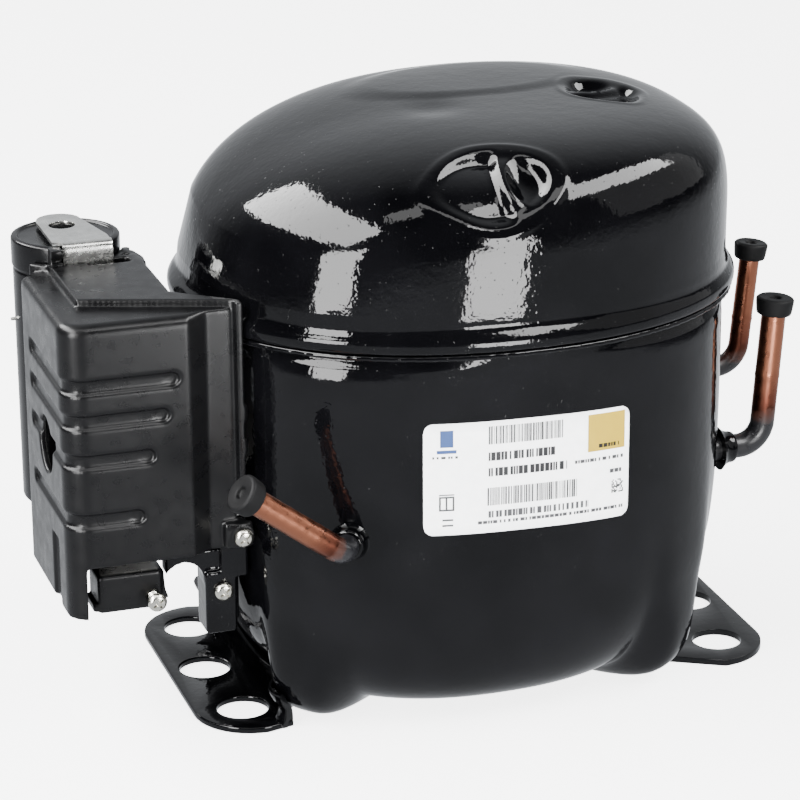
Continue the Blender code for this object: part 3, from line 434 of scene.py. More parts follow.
def bake(obj):
    bpy.context.view_layer.update()
    evaluated = obj.evaluated_get(bpy.context.evaluated_depsgraph_get())
    data = bpy.data.meshes.new_from_object(evaluated)
    obj.modifiers.clear()
    obj.data = data


def bevel(obj, width, segments, degrees):
    """Rounds the edges that turn by more than an angle."""
    modifier = obj.modifiers.new("edges", "BEVEL")
    modifier.width = width * MM
    modifier.segments = segments
    modifier.limit_method = "ANGLE"
    modifier.angle_limit = radians(degrees)
    bake(obj)


def sheet(name, rows, material, thickness):
    """A sheet through rows of equal count, with half its thickness to each side."""
    faces = quads(len(rows), len(rows[0]), False)
    obj = piece(name, np.concatenate(rows), faces, material)
    modifier = obj.modifiers.new("thickness", "SOLIDIFY")
    modifier.thickness = thickness * MM
    modifier.offset = 0.0
    bake(obj)
    return obj


def coat(obj, material, sharp=None):
    """One material all over, shaded smooth up to edges of an angle in degrees."""
    obj.data.materials.clear()
    obj.data.materials.append(material)
    obj.data.shade_smooth()
    if sharp:
        obj.data.set_sharp_from_angle(angle=radians(sharp))


def prism(name, outline, low, high, rounding=0.0, axis=2):
    """An outline drawn out along Z, or along Y for axis 1, with rounded edges."""
    bm = bmesh.new()
    order = (0, 1, 2) if axis == 2 else (0, 2, 1)
    face = bm.faces.new([bm.verts.new([(u, v, low)[i] * MM for i in order]) for u, v in outline])
    drawn = bmesh.ops.extrude_face_region(bm, geom=[face])
    shift = [0.0, 0.0, 0.0]
    shift[axis] = (high - low) * MM
    moved = [item for item in drawn["geom"] if isinstance(item, bmesh.types.BMVert)]
    bmesh.ops.translate(bm, verts=moved, vec=shift)
    bmesh.ops.recalc_face_normals(bm, faces=bm.faces)
    obj = from_bmesh(name, bm)
    if rounding:
        bevel(obj, rounding, 3, 50)
    return obj


def stacked(name, rings):
    """A closed solid through rings of equal count, with a flat face over each end."""
    count = len(rings[0])
    top = (len(rings) - 1) * count
    faces = quads(len(rings), count) + [range(count), range(top, top + count)]
    return piece(name, np.concatenate(rings), faces)


def brick(name, low, high, rounding=0.0):
    (x, y, z), (x2, y2, z2) = low, high
    return prism(name, [(x, y), (x2, y), (x2, y2), (x, y2)], z, z2, rounding)


def peg(name, start, end, radius, sides=48):
    start, end = Vector(start), Vector(end)
    bm = bmesh.new()
    turn = (end - start).to_track_quat("Z", "X").to_matrix().to_4x4()
    place = Matrix.Translation((start + end) / 2 * MM) @ turn
    size = {"radius1": radius * MM, "radius2": radius * MM, "depth": (end - start).length * MM}
    bmesh.ops.create_cone(bm, cap_ends=True, segments=sides, matrix=place, **size)
    return from_bmesh(name, bm)


def boolean(operation, obj, others):
    """Joins or cuts with other objects, which are used up."""
    for other in others:
        modifier = obj.modifiers.new("boolean", "BOOLEAN")
        modifier.operation = operation
        modifier.object = other
        modifier.solver = "EXACT"
    bake(obj)
    for other in others:
        bpy.data.objects.remove(other, do_unlink=True)


def cut(obj, *others):
    boolean("DIFFERENCE", obj, others)


def join(obj, *others):
    boolean("UNION", obj, others)


def soften(obj, material, voxel, smooth, keep):
    """Turns a built-up shape into one moulded skin with soft edges."""
    remesh = obj.modifiers.new("skin", "REMESH")
    remesh.mode = "VOXEL"
    remesh.voxel_size = voxel * MM
    remesh.adaptivity = 0.0
    calm = obj.modifiers.new("calm", "SMOOTH")
    calm.factor = 0.5
    calm.iterations = smooth
    fewer = obj.modifiers.new("fewer", "DECIMATE")
    fewer.ratio = keep
    bake(obj)
    coat(obj, material)


def bevelled(obj, material, width, segments=2, degrees=35):
    bevel(obj, width, segments, degrees)
    coat(obj, material, 40)


def arc(x, y, radius, first, last, steps):
    """Points of an arc from one angle to another, in degrees."""
    turns = [radians(first + (last - first) * i / steps) for i in range(steps + 1)]
    return [(x + radius * cos(a), y + radius * sin(a)) for a in turns]


# ---- the shell


ANGLES = np.linspace(0, 2 * pi, COLUMNS, endpoint=False)


def plan(shape, angles=ANGLES):
    """Distance from the axis to a superellipse at each angle."""
    a, b, n = shape
    return (np.abs(np.cos(angles) / a) ** n + np.abs(np.sin(angles) / b) ** n) ** (-1 / n)


def ring(radius, z, shift=0.0, angles=ANGLES):
    """A row of points at these distances from an axis that is shifted along X."""
    z = np.broadcast_to(z, radius.shape)
    return np.stack([radius * np.cos(angles) + shift, radius * np.sin(angles), z], 1)


def smooth_step(x):
    x = np.clip(x, 0, 1)
    return x * x * (3 - 2 * x)


def near_foot(angles):
    """One at the direction of a foot, falling to nothing away from it."""
    near = np.zeros_like(angles)
    for degrees in FOOT_ANGLES:
        turn = (angles - radians(degrees) + pi) % (2 * pi) - pi
        near = np.maximum(near, np.exp(-((turn / FOOT_WIDTH) ** 4)))
    return near


def lower_ring(depth, angles=ANGLES, out=0.0):
    """The lower housing at a share of its depth below its start."""
    foot = near_foot(angles)
    exponent = 6.0 - 0.7 * np.cos(angles) - 1.2 * np.cos(2 * angles) + FOOT_FULLNESS * foot
    spread = FOOT_SPREAD * foot * smooth_step((depth - 0.7) / 0.25)
    taper = SIDE_TAPER * smooth_step((depth - 0.62) / 0.36) * np.maximum(np.cos(angles), 0) ** 2
    share = (1 - min(depth, 0.9999) ** exponent) ** (1 / exponent) * (1 + spread - taper)
    bottom = BOTTOM_Z - FOOT_DROP * foot
    z = BODY_START_Z - (BODY_START_Z - bottom) * depth
    return ring(plan(LOWER_PLAN, angles) * share + out, z, 0.0, angles)


def lower_radius(angle, z, out=0.0):
    """Distance from the axis to the lower housing at an angle and height."""
    angles = np.array([angle])
    bottom = BOTTOM_Z - FOOT_DROP * near_foot(angles)[0]
    row = lower_ring((BODY_START_Z - z) / (BODY_START_Z - bottom), angles, out)[0]
    return hypot(row[0], row[1])


def stamped_pocket(points, centre, across, upward, scale):
    """Depth of a stamped pocket: a facet that deepens up to a crest, and a round dimple past the crest."""
    offset = (points - np.array(centre)) / scale
    u = offset @ np.array(across)
    v = offset @ np.array(upward)
    reach = 15.2 * (1 - 0.35 * np.clip(-u / 20.0, 0, 1) ** 2)
    rim = np.sqrt((u / 20.5) ** 2 + (v / reach) ** 2)
    inside = 1 - smooth_step((rim - 0.76) / 0.28)
    facet = np.clip((u + 21.0) / 22.0, 0, 1) * 3.4 + 0.8
    dimple = 5.2 * np.clip(1 - ((u - 12.0) / 8.6) ** 2 - (v / 12.5) ** 2, 0, 1)
    crest = smooth_step((u - 0.2 - 0.012 * v**2) / 4.6)
    outer_rim = np.sqrt((u / 21.5) ** 2 + (v / (reach + 1)) ** 2)
    lip = 0.35 * np.exp(-(((outer_rim - 1.07) / 0.07) ** 2))
    near = np.abs(offset @ np.cross(across, upward)) < 16
    floor = facet * (1 - crest) + np.maximum(dimple, 1.4) * crest
    return np.where(near, scale * (inside * floor - lip), 0.0)


def crown_relief(points):
    """Height of the raised pad on the crown, less a shallow dip at its front."""
    x, y, z = points.T
    high = z > 172
    pad = 1 - smooth_step((np.sqrt(((x - 14) / 44) ** 2 + ((y - 26) / 25) ** 2) - 0.75) / 0.3)
    dip = np.exp(-(((x + 9) / 9.0) ** 2) - ((y + 8) / 9.0) ** 2)
    return np.where(high, 0.7 * pad - 0.9 * dip, 0.0)


def dome_rises():
    """Shares of the dome's height, evenly spaced along its profile from its foot to just below the top."""
    fine_steps = 6000
    turn = np.linspace(0.2, pi / 2, fine_steps)
    rise, reach = np.sin(turn) ** 0.5, np.cos(turn) ** 0.5
    steps = np.hypot(np.diff(rise) * DOME_HEIGHT, np.diff(reach) * UPPER_PLAN[0])
    length = np.concatenate([[0.0], np.cumsum(steps)])
    keep = rise > (DOME_FOOT_Z - DOME_Z) / DOME_HEIGHT
    return np.interp(np.linspace(length[keep][0], length[-1], DOME_ROWS), length, rise)[:-1]


# The belt of the upper housing, from its underside up: height, then plan.
BELT = (
    (133.6, 92.4, 78.8, 2.15), (132.7, 93.4, 79.8, 2.15), (132.9, 94.5, 80.9, 2.15),
    (134.2, 94.95, 81.35, 2.15), (136.2, 94.8, 81.2, 2.16), (138.0, 93.6, 80.3, 2.18),
    (139.4, 92.0, 79.4, 2.24), (140.6, 91.2, 79.0, 2.28), (142.4, 90.8, 79.0, 2.3),
    (145.0, 90.5, 79.0, 2.3),
)

# The rim of the lower housing, from its top down: height, then plan.
RIM = (
    (134.8, 88.6, 75.0, 2.2), (134.9, 90.6, 77.2, 2.18), (132.5, 91.3, 77.9, 2.15),
    (130.0, 91.4, 78.0, 2.15), (128.3, 90.4, 77.9, 2.25), (126.8, 89.0, 77.7, 2.4),
    (125.0, 88.2, 77.45, 2.5),
)


def upper_rows():
    """The belt and the dome, with more of the points towards the front, where the pocket is."""
    angles = ANGLES - 0.6 * np.sin(ANGLES + pi / 2)
    belt = catmull(BELT, 5)
    rows = [ring(plan((a, b, n), angles), z, 0.0, angles) for z, a, b, n in belt]
    exponent = 3.94 + 0.58 * np.cos(angles) - 0.68 * np.cos(2 * angles)
    for rise in dome_rises():
        radius = plan(UPPER_PLAN, angles) * (1 - rise**exponent) ** (1 / exponent)
        rows.append(ring(radius, DOME_Z + DOME_HEIGHT * rise, CROWN_SHIFT * rise**3, angles))
    return rows


def pushed(rows, amount):
    """Moves each point of a stack of rows along its own normal by an amount in millimetres."""
    grid = np.array(rows)
    around = np.roll(grid, -1, 1) - np.roll(grid, 1, 1)
    along = np.gradient(grid, axis=0)
    normal = np.cross(around, along)
    normal /= np.maximum(np.linalg.norm(normal, axis=2, keepdims=True), 1e-9)
    return list(grid + normal * amount(grid.reshape(-1, 3)).reshape(grid.shape[:2])[:, :, None])


# Each pocket's centre, its directions across and up, and its scale.
FRONT_POCKET = ((-9.8, -68.8, 186.6), (1.0, 0.0, 0.0), (0.0, 0.80, 0.60), 1.0)
SIDE_POCKET = ((52.0, -4.0, 193.0), (-0.22, 0.975, 0.0), (-0.975, -0.22, 0.0), 0.8)


def dome_relief(points):
    pockets = stamped_pocket(points, *FRONT_POCKET) + stamped_pocket(points, *SIDE_POCKET)
    return crown_relief(points) - pockets


def make_upper_shell():
    """The outside runs from the belt to the crown. The inside, 2.4 mm lower, joins it under the belt."""
    outer = pushed(upper_rows(), dome_relief)
    inner = [row * [0.965, 0.965, 1.0] - [0, 0, 2.4] for row in outer[50::9]]
    wall = [row * [0.975, 0.965, 1.0] for row in (outer[0], outer[30])]
    shell = skin("dome_shell", inner[::-1] + wall[::-1] + outer, PAINT, True, True, 60)
    settle(shell, "black_paint", "upper_housing")


def make_lower_shell():
    rows = [ring(plan((a, b, n)), z) for z, a, b, n in catmull(RIM, 5)]
    start = (BODY_START_Z - BODY_TOP_Z) / (BODY_START_Z - BOTTOM_Z)
    for quarter in np.linspace(0, 1, BODY_ROWS)[:-1]:
        rows.append(lower_ring(start + (1 - start) * sin(quarter * pi / 2) ** 0.95))
    shell = skin("body_shell", rows, PAINT, False, True, 60)
    settle(shell, "black_paint", "lower_housing")


def make_weld():
    """The weld run around the seam, whose radius wanders and ripples."""
    random.seed(4)
    wander = np.array([random.uniform(-1, 1) for _ in range(COLUMNS)])
    for _ in range(2):
        wander = (wander + np.roll(wander, 1) + np.roll(wander, -1)) / 3
    bead = []
    for turn in np.linspace(0, 2 * pi, 14, endpoint=False):
        out = 1.25 * cos(turn) + 0.25 * wander + 0.15 * np.cos(ANGLES * 118)
        bead.append(ring(plan(WELD_PLAN) + out, WELD_Z + 1.1 * sin(turn)))
    weld = skin("weld_run", bead + bead[:1], PAINT, sharp=60)
    settle(weld, "black_paint", "weld_bead")


# ---- base plates


HOLES = ((85.0, -35.0), (88.6, 0.0), (85.0, 35.0))
HOLE_RADIUS = 8.5
PLATE_TOP = 2.2
PLATE_END, PLATE_CORNER = 52.5, 20.0
FLANGE_END = radians(35.0)

# The flange's section: the height whose body radius is the base, the distance out from it, and the height.
FLANGE = (
    (6.5, 5.6, 2.0), (6.5, 4.7, 2.5), (6.5, 4.1, 3.8), (6.5, 3.8, 6.5), (9.5, 3.6, 9.5), (13.0, 3.3, 12.6),
    (13.0, 2.4, 13.0), (13.0, 1.2, 12.6), (9.5, 1.0, 9.5), (6.5, 1.0, 6.0), (6.5, 1.0, 0.6), (6.5, 5.6, 0.6),
    (6.5, 5.6, 2.0),
)


def make_base_plate(name, side):
    """A flat plate with three holes, and the flange that is welded up the body's wall."""
    low, high = node_box(name)
    edge = max(abs(low.x), abs(high.x))
    outline = []
    for way in (-1, 1):
        x, y = edge - PLATE_CORNER, way * (PLATE_END - PLATE_CORNER)
        points = [(side * (x + PLATE_CORNER * sin(a)), y + way * PLATE_CORNER * cos(a))
                  for a in np.linspace(0, pi / 2, 12)]
        outline += points if way == -1 else points[::-1]
    for angle in np.linspace(FLANGE_END, -FLANGE_END, 45):
        r = lower_radius(angle if side > 0 else pi - angle, 6.5, 1.0)
        outline.append((side * r * cos(angle), r * sin(angle)))
    plate = prism(name + "_sheet", outline, 0.0, PLATE_TOP)
    holes = [peg("hole", (side * x, y, -5), (side * x, y, 8), HOLE_RADIUS, 72) for x, y in HOLES]
    cut(plate, *holes)
    bevelled(plate, PAINT, 0.55, 3)
    settle(plate, "black_paint", name)

    rows = []
    for angle in np.linspace(FLANGE_END * 0.985, -FLANGE_END * 0.985, 60):
        around = angle if side > 0 else pi - angle
        base = {z: lower_radius(around, z) for z in (6.5, 9.5, 13.0)}
        profile = catmull([(base[at] + out, z) for at, out, z in FLANGE], 3)[:-1]
        rows.append([(side * r * cos(angle), r * sin(angle), z) for r, z in profile])
    settle(skin(name + "_flange", rows, PAINT, True, True, 50), "black_paint")


# ---- rating label


LABEL_LEFT, LABEL_RIGHT = -35.0, 34.7
LABEL_LOW, LABEL_HIGH, LABEL_SLOPE = 71.6, 109.3, -1.4
PAPER_LIFT, INK_LIFT = 0.12, 0.30
FRONT_EXPONENT = 7.4


def front_wall(x, z):
    """Y of the lower housing's front wall."""
    depth = (BODY_START_Z - z) / (BODY_START_Z - BOTTOM_Z)
    a, b, n = LOWER_PLAN
    reach = b * (1 - abs(x / a) ** n) ** (1 / n)
    return -reach * (1 - depth**FRONT_EXPONENT) ** (1 / FRONT_EXPONENT)


def on_label(u, v, lift):
    """The point of the label at u across and v up, each from 0 to 1."""
    x = LABEL_LEFT + (LABEL_RIGHT - LABEL_LEFT) * u
    z = LABEL_LOW + (LABEL_HIGH - LABEL_LOW) * v + LABEL_SLOPE * u
    return (x, front_wall(x, z) - lift, z)


class Print:
    """Patches of ink laid on the label as thin quads."""

    def __init__(self):
        self.points, self.faces, self.slots = [], [], []

    def patch(self, left, low, right, high, slot):
        count = max(1, int((right - left) / 0.035))
        for i in range(count):
            a, b = left + (right - left) * i / count, left + (right - left) * (i + 1) / count
            first = len(self.points)
            corners = ((a, low), (b, low), (b, high), (a, high))
            self.points += [on_label(u, v, INK_LIFT) for u, v in corners]
            self.faces.append((first, first + 1, first + 2, first + 3))
            self.slots.append(slot)

    def bars(self, left, low, right, high, seed):
        """A run of upright bars in two inks."""
        random.seed(seed)
        at = left
        while at < right - 0.004:
            wide = random.choice((0.0022, 0.0022, 0.0045, 0.007))
            self.patch(at, low, min(at + wide, right), high, random.choice((0, 0, 1)))
            at += wide + random.choice((0.0025, 0.004, 0.0065))

    def line(self, left, middle, right, height, seed, slot=0):
        """A line of print, as a run of plain dashes."""
        random.seed(seed)
        at = left
        while at < right:
            wide = min(random.choice((0.008, 0.012, 0.02)), right - at)
            self.patch(at, middle - height / 2, at + wide, middle + height / 2, slot)
            at += wide + random.choice((0.004, 0.004, 0.012))


def make_label():
    radius = 3.2 / (LABEL_RIGHT - LABEL_LEFT)
    tall = (LABEL_HIGH - LABEL_LOW) / (LABEL_RIGHT - LABEL_LEFT)
    middle = np.linspace(radius, 1 - radius, 50)[1:-1]
    columns = np.concatenate([np.linspace(0, radius, 9), middle, np.linspace(1 - radius, 1, 9)])
    rows = []
    for share in np.linspace(0, 1, 9):
        row = []
        for u in columns:
            edge = min(u, 1 - u)
            inset = 0.0
            if edge < radius:
                inset = (radius - sqrt(max(radius**2 - (radius - edge) ** 2, 0))) / tall
            row.append(on_label(u, inset + (1 - 2 * inset) * share, PAPER_LIFT))
        rows.append(row)
    settle(sheet("label_sheet", rows, PAPER, 0.12), "label", "rating_label")

    ink = Print()
    ink.bars(0.30, 0.795, 0.665, 0.955, 11)
    ink.bars(0.295, 0.245, 0.735, 0.405, 12)
    ink.line(0.30, 0.685, 0.62, 0.075, 21)
    ink.line(0.30, 0.545, 0.68, 0.075, 22)
    ink.line(0.30, 0.165, 0.79, 0.06, 23, 1)
    ink.line(0.25, 0.095, 0.97, 0.028, 24, 1)
    ink.line(0.72, 0.555, 0.97, 0.03, 25, 1)
    ink.line(0.90, 0.43, 0.97, 0.035, 26, 1)
    ink.patch(0.785, 0.63, 0.975, 0.965, 2)
    ink.line(0.84, 0.675, 0.945, 0.035, 27)
    ink.patch(0.075, 0.79, 0.135, 0.94, 3)
    ink.patch(0.06, 0.735, 0.15, 0.765, 3)
    ink.line(0.04, 0.70, 0.16, 0.02, 28)
    for low, high in ((0.36, 0.37), (0.22, 0.235), (0.335, 0.35)):
        ink.patch(0.07, low, 0.14, high, 1)
    for left, right in ((0.07, 0.078), (0.10, 0.108), (0.132, 0.14)):
        ink.patch(left, 0.22, right, 0.35, 1)
    for low, high in ((0.08, 0.095), (0.13, 0.145)):
        ink.patch(0.085, low, 0.135, high, 1)
    random.seed(31)
    for i in range(10):
        for j in range(10):
            if random.random() < 0.5:
                u, v = 0.91 + i * 0.0062, 0.225 + j * 0.0122
                ink.patch(u, v, u + 0.0058, v + 0.0115, 0)
    inks = (INK, GREY_INK, YELLOW_INK, BLUE_INK)
    marks = piece("label_print", ink.points, ink.faces, *inks, slots=ink.slots)
    settle(marks, "label")


# ---- tubes and plugs


PROCESS_PATH = ((-52.5, -58.5, 69.5), (-61.8, -74.7, 69.5), (-94.4, -81.0, 95.2))
SUCTION_PATH = ((81.5, -30, 71), (101.2, -30, 71), (105.0, -30, 120.2))
DISCHARGE_PATH = ((84.0, 4, 87.5), (106.6, 4, 87.5), (110.8, 4, 129.2))


def collar(name, start, end, radius, reach):
    """The brazed sleeve where a tube leaves the shell."""
    start, end = Vector(start), Vector(end)
    axis = (end - start).normalized()
    section = ((3.4, 0.0), (2.0, 1.4), (1.3, 3.0), (1.2, reach - 1.0), (0.9, reach - 0.3), (0.5, reach))
    profile = rounded([(radius + out, at) for out, at in section], 0.8)
    settle(turned(name, profile + [(0.2, reach)], start, axis, PAINT, 48), "black_paint")


def ringed(at):
    """A change of radius along a tube: a low ring at one distance from its start."""
    return lambda run: 0.16 * exp(-(((run - at) / 0.5) ** 2))


def make_tubes():
    for name, path, radius, bend, axis, start, end, mark in (
        ("suction_tube", SUCTION_PATH, 4.15, 9.0, (0.08, 0, 1), 86.0, 112.0, 41.5),
        ("discharge_tube", DISCHARGE_PATH, 3.5, 9.0, (0.08, 0, 1), 95.0, 126.0, 37.0),
        ("process_tube", PROCESS_PATH, 4.1, 6.5, (-0.80, -0.18, 0.58), 104.0, 124.0, 31.0),
    ):
        look = heated_copper(name + "_copper", axis, start, end)
        line = bend_path(*path, bend, 18, 40)
        tube = swept(name + "_drawn", line, radius, look, 40, ringed(mark))
        settle(tube, "copper", name)
        make_plug(name.replace("tube", "plug"), path, radius)
    collar("suction_collar", (85.6, -30, 71), (101, -30, 71), 4.15, 5.5)
    collar("discharge_collar", (87.6, 4, 87.5), (106, 4, 87.5), 3.5, 6.5)
    collar("process_collar", (-56.2, -65.0, 69.5), PROCESS_PATH[1], 4.1, 5.5)


def make_plug(name, path, radius):
    """A push-on stopper with a rolled rim and a round recess in its end."""
    tip = Vector(path[2])
    away = (tip - Vector(path[1])).normalized()
    profile = rounded(
        [(0.01, 4.4), (1.6, 4.5), (2.1, 5.7), (radius + 1.5, 6.0), (radius + 2.35, 5.3), (radius + 2.2, 3.4),
         (radius + 1.9, 0.9), (radius + 1.6, 0.05), (radius + 0.45, 0.05), (radius + 0.45, 3.3), (0.01, 3.3)],
        0.45,
    )
    rubber = turned(name + "_rubber", profile, tip - away * 3.0, away, RUBBER, 56)
    settle(rubber, "black_rubber", name, body=name)


# ---- terminal cover


LEFT, FRONT, BACK = -142.9, -45.0, 18.0
ROOF_EDGE = 3.2
WALL, CORNER = 2.2, 8.0
SIDE_LOW, FRONT_LOW = 44.5, 62.0
ROOF, PLATFORM = 143.0, 145.5
GROOVES = ((78.0, -120.3), (98.0, -116.3), (111.2, -111.3), (122.8, -107.9))
GROOVE_HALF = 2.4
CAN_X, CAN_Y, CAN_RADIUS = -123.5, 33.5, 18.0


def cover_outline(inset):
    """The cover's plan, with its left, front and back sides drawn in by an inset."""
    points = [(-102.4, FRONT + inset)]
    points += arc(LEFT + CORNER, FRONT + CORNER, CORNER - inset, 270, 180, 14)
    points += [(LEFT + inset, 14.0 - 0.4 * inset), (LEFT + 4 + 0.4 * inset, BACK - inset)]
    points.append((-102.5, BACK - inset))
    return points + [(-102.5, -25.3), (-84.3, -40.1), (-84.3, -41.0), (-95.6, -41.0)]


def hollow_outline():
    """The plan of the room inside the cover, which is open on the right."""
    points = [(-102.4, FRONT + WALL)]
    points += arc(LEFT + CORNER, FRONT + CORNER, CORNER - WALL, 270, 180, 14)
    return points + [(LEFT + WALL, BACK - WALL), (-75.0, BACK - WALL), (-75.0, -38.9), (-95.6, -38.9)]


def make_cover():
    rings = [[(x, y, SIDE_LOW) for x, y in cover_outline(0.0)]]
    for step in range(7):
        a = pi / 2 * step / 6
        inset, z = ROOF_EDGE * (1 - cos(a)), ROOF - ROOF_EDGE * (1 - sin(a))
        rings.append([(x, y, z) for x, y in cover_outline(inset)])
    cover = stacked("cover_skin", rings)
    platform = [(-133.5, 15.3), (-130.3, BACK - 0.5), (-104.0, BACK - 0.5), (-103.0, 6.9), (-103.0, -25.0),
                (-84.9, -39.6), (-84.9, -41.2), (-133.3, -24.8)]
    roof = prism("platform", platform, ROOF - 3, PLATFORM)
    lip = brick("lip", (-86.6, -44.0, 82.0), (-84.2, -40.3, PLATFORM - 0.2))
    tab = brick("tab", (-91.5, -43.0, FRONT_LOW), (-82.0, -40.8, 71.0), 0.9)
    boss = peg("boss", (-85.9, -43.6, 66.4), (-85.9, -40.0, 66.4), 4.2)
    join(cover, roof)
    hollow = prism("hollow", hollow_outline(), 30.0, ROOF - WALL)
    cut(cover, hollow)
    outside = arc(CAN_X, CAN_Y, CAN_RADIUS + 3.2, 222, 345, 30)
    inside = arc(CAN_X, CAN_Y, CAN_RADIUS - 1.0, 345, 222, 30)
    saddle = prism("saddle", outside + inside, FRONT_LOW, PLATFORM - 0.6, 0.6)
    lug_plan = [(-112.0, 9.0), (-103.5, 7.4), (-101.9, 10.0), (-101.6, 16.0), (-102.9, 22.5),
                (-106.4, 26.8), (-107.6, 25.2), (-106.0, 21.0), (-106.0, 16.2), (-107.4, 13.4)]
    lug = prism("lug", lug_plan, 120.0, PLATFORM - 0.3, 0.5)
    nubs = [brick("nub", (-84.9, -43.4, z), (-83.1, -41.2, z + 5.5), 0.6) for z in (94.0, 105.5)]
    join(cover, saddle, lug, lip, tab, boss, *nubs)
    cutters = []
    for z, end in GROOVES:
        band = [(end, FRONT - 3), (LEFT - 3, FRONT - 3), (LEFT - 3, 2.5), (LEFT + 1.25, 2.5)]
        band += arc(LEFT + CORNER, FRONT + CORNER, CORNER - 1.25, 180, 270, 14) + [(end, FRONT + 1.25)]
        cutters += [
            prism("groove", band, z - GROOVE_HALF, z + GROOVE_HALF),
            peg("groove_end", (end, FRONT - 3, z), (end, FRONT + 1.5, z), GROOVE_HALF, 32),
            peg("groove_side", (LEFT - 3, 2.5, z), (LEFT + 1.25, 2.5, z), GROOVE_HALF, 32),
        ]
    low, far = SIDE_LOW - 8, -70.0
    cutters += [
        brick("under_front", (-137.2, -55, low), (far, -30, FRONT_LOW)),
        brick("under_right", (-106.0, -30, low), (far, 30, 68.0)),
        brick("under_lip", (-86.9, -50, 71.5), (far, -35, 82.5)),
        brick("side_recess", (LEFT - 3, -29, 40), (LEFT + 1.2, -20, 67)),
        peg("side_window", (LEFT - 5, -15, 95), (LEFT + 5, -15, 95), 9.3, 64),
        peg("can_room", (CAN_X, CAN_Y, 30), (CAN_X, CAN_Y, 170), CAN_RADIUS + 0.3, 120),
        brick("strap_slot", (-121.0, 10.3, ROOF - 6), (-107.2, 15.0, PLATFORM + 6)),
        brick("fold_slot", (-129.0, 12.4, ROOF - 6), (-107.2, 15.2, PLATFORM + 6)),
        peg("screw_hole", (-85.6, -50, 66), (-85.6, -30, 66), 2.3, 32),
    ]
    cut(cover, *cutters)
    soften(cover, PLASTIC, 0.55, 5, 0.35)
    settle(cover, "black_plastic", "terminal_cover")


# The strap from its round end over the can to its foot: Y, then height over the can.
STRAP_PATH = (
    (50.3, 0.0), (47.0, 0.0), (41.0, 0.0), (30.0, 0.0), (21.0, 0.0), (18.4, 0.0), (17.0, 0.3), (15.6, 0.45),
    (14.5, -0.1), (14.1, -1.3), (14.0, -3.0), (14.0, -6.0), (14.0, -9.0), (14.0, -11.0),
)


def make_capacitor():
    low, high = node_box("start_capacitor")
    foot, head, r = low.z, high.z, CAN_RADIUS
    profile = rounded(
        [(0.01, head - 0.9), (r - 2.6, head - 0.9), (r - 2.0, head), (r, head - 0.4), (r, head - 9.8),
         (r - 0.7, head - 10.4), (r - 0.35, head - 11.4), (r - 0.45, foot + 2.0), (r - 2.4, foot),
         (0.01, foot)],
        0.8,
    )
    can = turned("capacitor_can", profile, (CAN_X, CAN_Y, 0), (0, 0, 1), SMOOTH_PLASTIC, 128)
    settle(can, "gloss_black", "start_capacitor")
    pin = turned("capacitor_pin", [(0.01, 1.6), (0.5, 1.6), (0.6, 1.0), (0.6, -2.0), (0.01, -2.0)],
                 (CAN_X - r + 0.2, CAN_Y, 122), (-1, 0, 0), ZINC, 16)
    settle(pin, "zinc_plate")

    top = head + 0.9
    rows = []
    for y, drop in catmull(STRAP_PATH, 6):
        if y > 43:
            half = sqrt(max(7.4**2 - (y - 43.0) ** 2, 0.3))
            left, right = CAN_X - 0.1 - half, CAN_X - 0.1 + half
        else:
            left = np.interp(y, [15.0, 17.5, 40.0, 43.0], [-128.6, -131.2, -131.1, -131.0])
            right = np.interp(y, [22.0, 43.0], [-112.0, -116.2])
        rows.append([(left + (right - left) * s, y, top + drop) for s in np.linspace(0, 1, 15)])
    strap = sheet("strap_sheet", rows, ZINC, 1.15)
    hole = peg("strap_hole", (CAN_X - 0.3, 36.9, 140), (CAN_X - 0.3, 36.9, 160), 4.4)
    cut(strap, hole)
    bevelled(strap, ZINC, 0.22, 2, 50)
    settle(strap, "zinc_plate", "capacitor_strap")
    clip = brick("strap_clip", (-133.2, 10.8, PLATFORM - 1.5), (-129.3, 15.9, PLATFORM + 5.4))
    notch = brick("clip_notch", (-134.0, 10.0, PLATFORM + 1.0), (-128.0, 12.4, PLATFORM + 2.8))
    cut(clip, notch)
    bevelled(clip, PLASTIC, 0.35)
    settle(clip, "black_plastic")


# ---- clamp, bracket and screws


SCREW_RADIUS, HEAD_RADIUS = 1.8, 3.15
PITCH, STEPS_PER_TURN = 0.9, 8


def make_screw(name, head, length):
    """A pan head screw facing -Y with a cross recess, a washer face and a rolled thread."""
    profile = rounded(
        [(0.01, 2.25), (HEAD_RADIUS * 0.7, 2.0), (HEAD_RADIUS, 1.0), (HEAD_RADIUS, 0.0), (0.01, 0.0)], 0.5
    )
    screw = turned(name + "_head", profile, head, (0, -1, 0), BRIGHT_ZINC, 48)
    x, y, z = head
    slots = []
    for turn in (35, 125):
        a = radians(turn)
        corners = ((1.9, 0.33), (-1.9, 0.33), (-1.9, -0.33), (1.9, -0.33))
        flat = [(x + u * cos(a) - v * sin(a), z + u * sin(a) + v * cos(a)) for u, v in corners]
        slots.append(prism("slot", flat, y - 4.0, y - 1.1, axis=1))
    slots.append(peg("recess", (x, y - 4, z), (x, y - 1.3, z), 0.85, 24))
    cut(screw, *slots)
    coat(screw, BRIGHT_ZINC, 35)
    rows = []
    steps, sides = int(length / PITCH) * STEPS_PER_TURN, 20
    for k in range(steps + 1):
        at = 0.2 + k * length / steps
        row = []
        for i in range(sides):
            a = 2 * pi * i / sides
            lift = 0.5 + 0.5 * cos(2 * pi * (k / STEPS_PER_TURN) - a)
            point = 1 - 0.6 * max(0.0, (at / length - 0.85) / 0.15)
            r = SCREW_RADIUS * (0.78 + 0.22 * lift) * point
            row.append((x + r * cos(a), y + at, z + r * sin(a)))
        rows.append(row)
    thread = skin(name + "_thread", rows, BRIGHT_ZINC, True, True, 50)
    settle(screw, "zinc_plate", name)
    settle(thread, "zinc_plate")


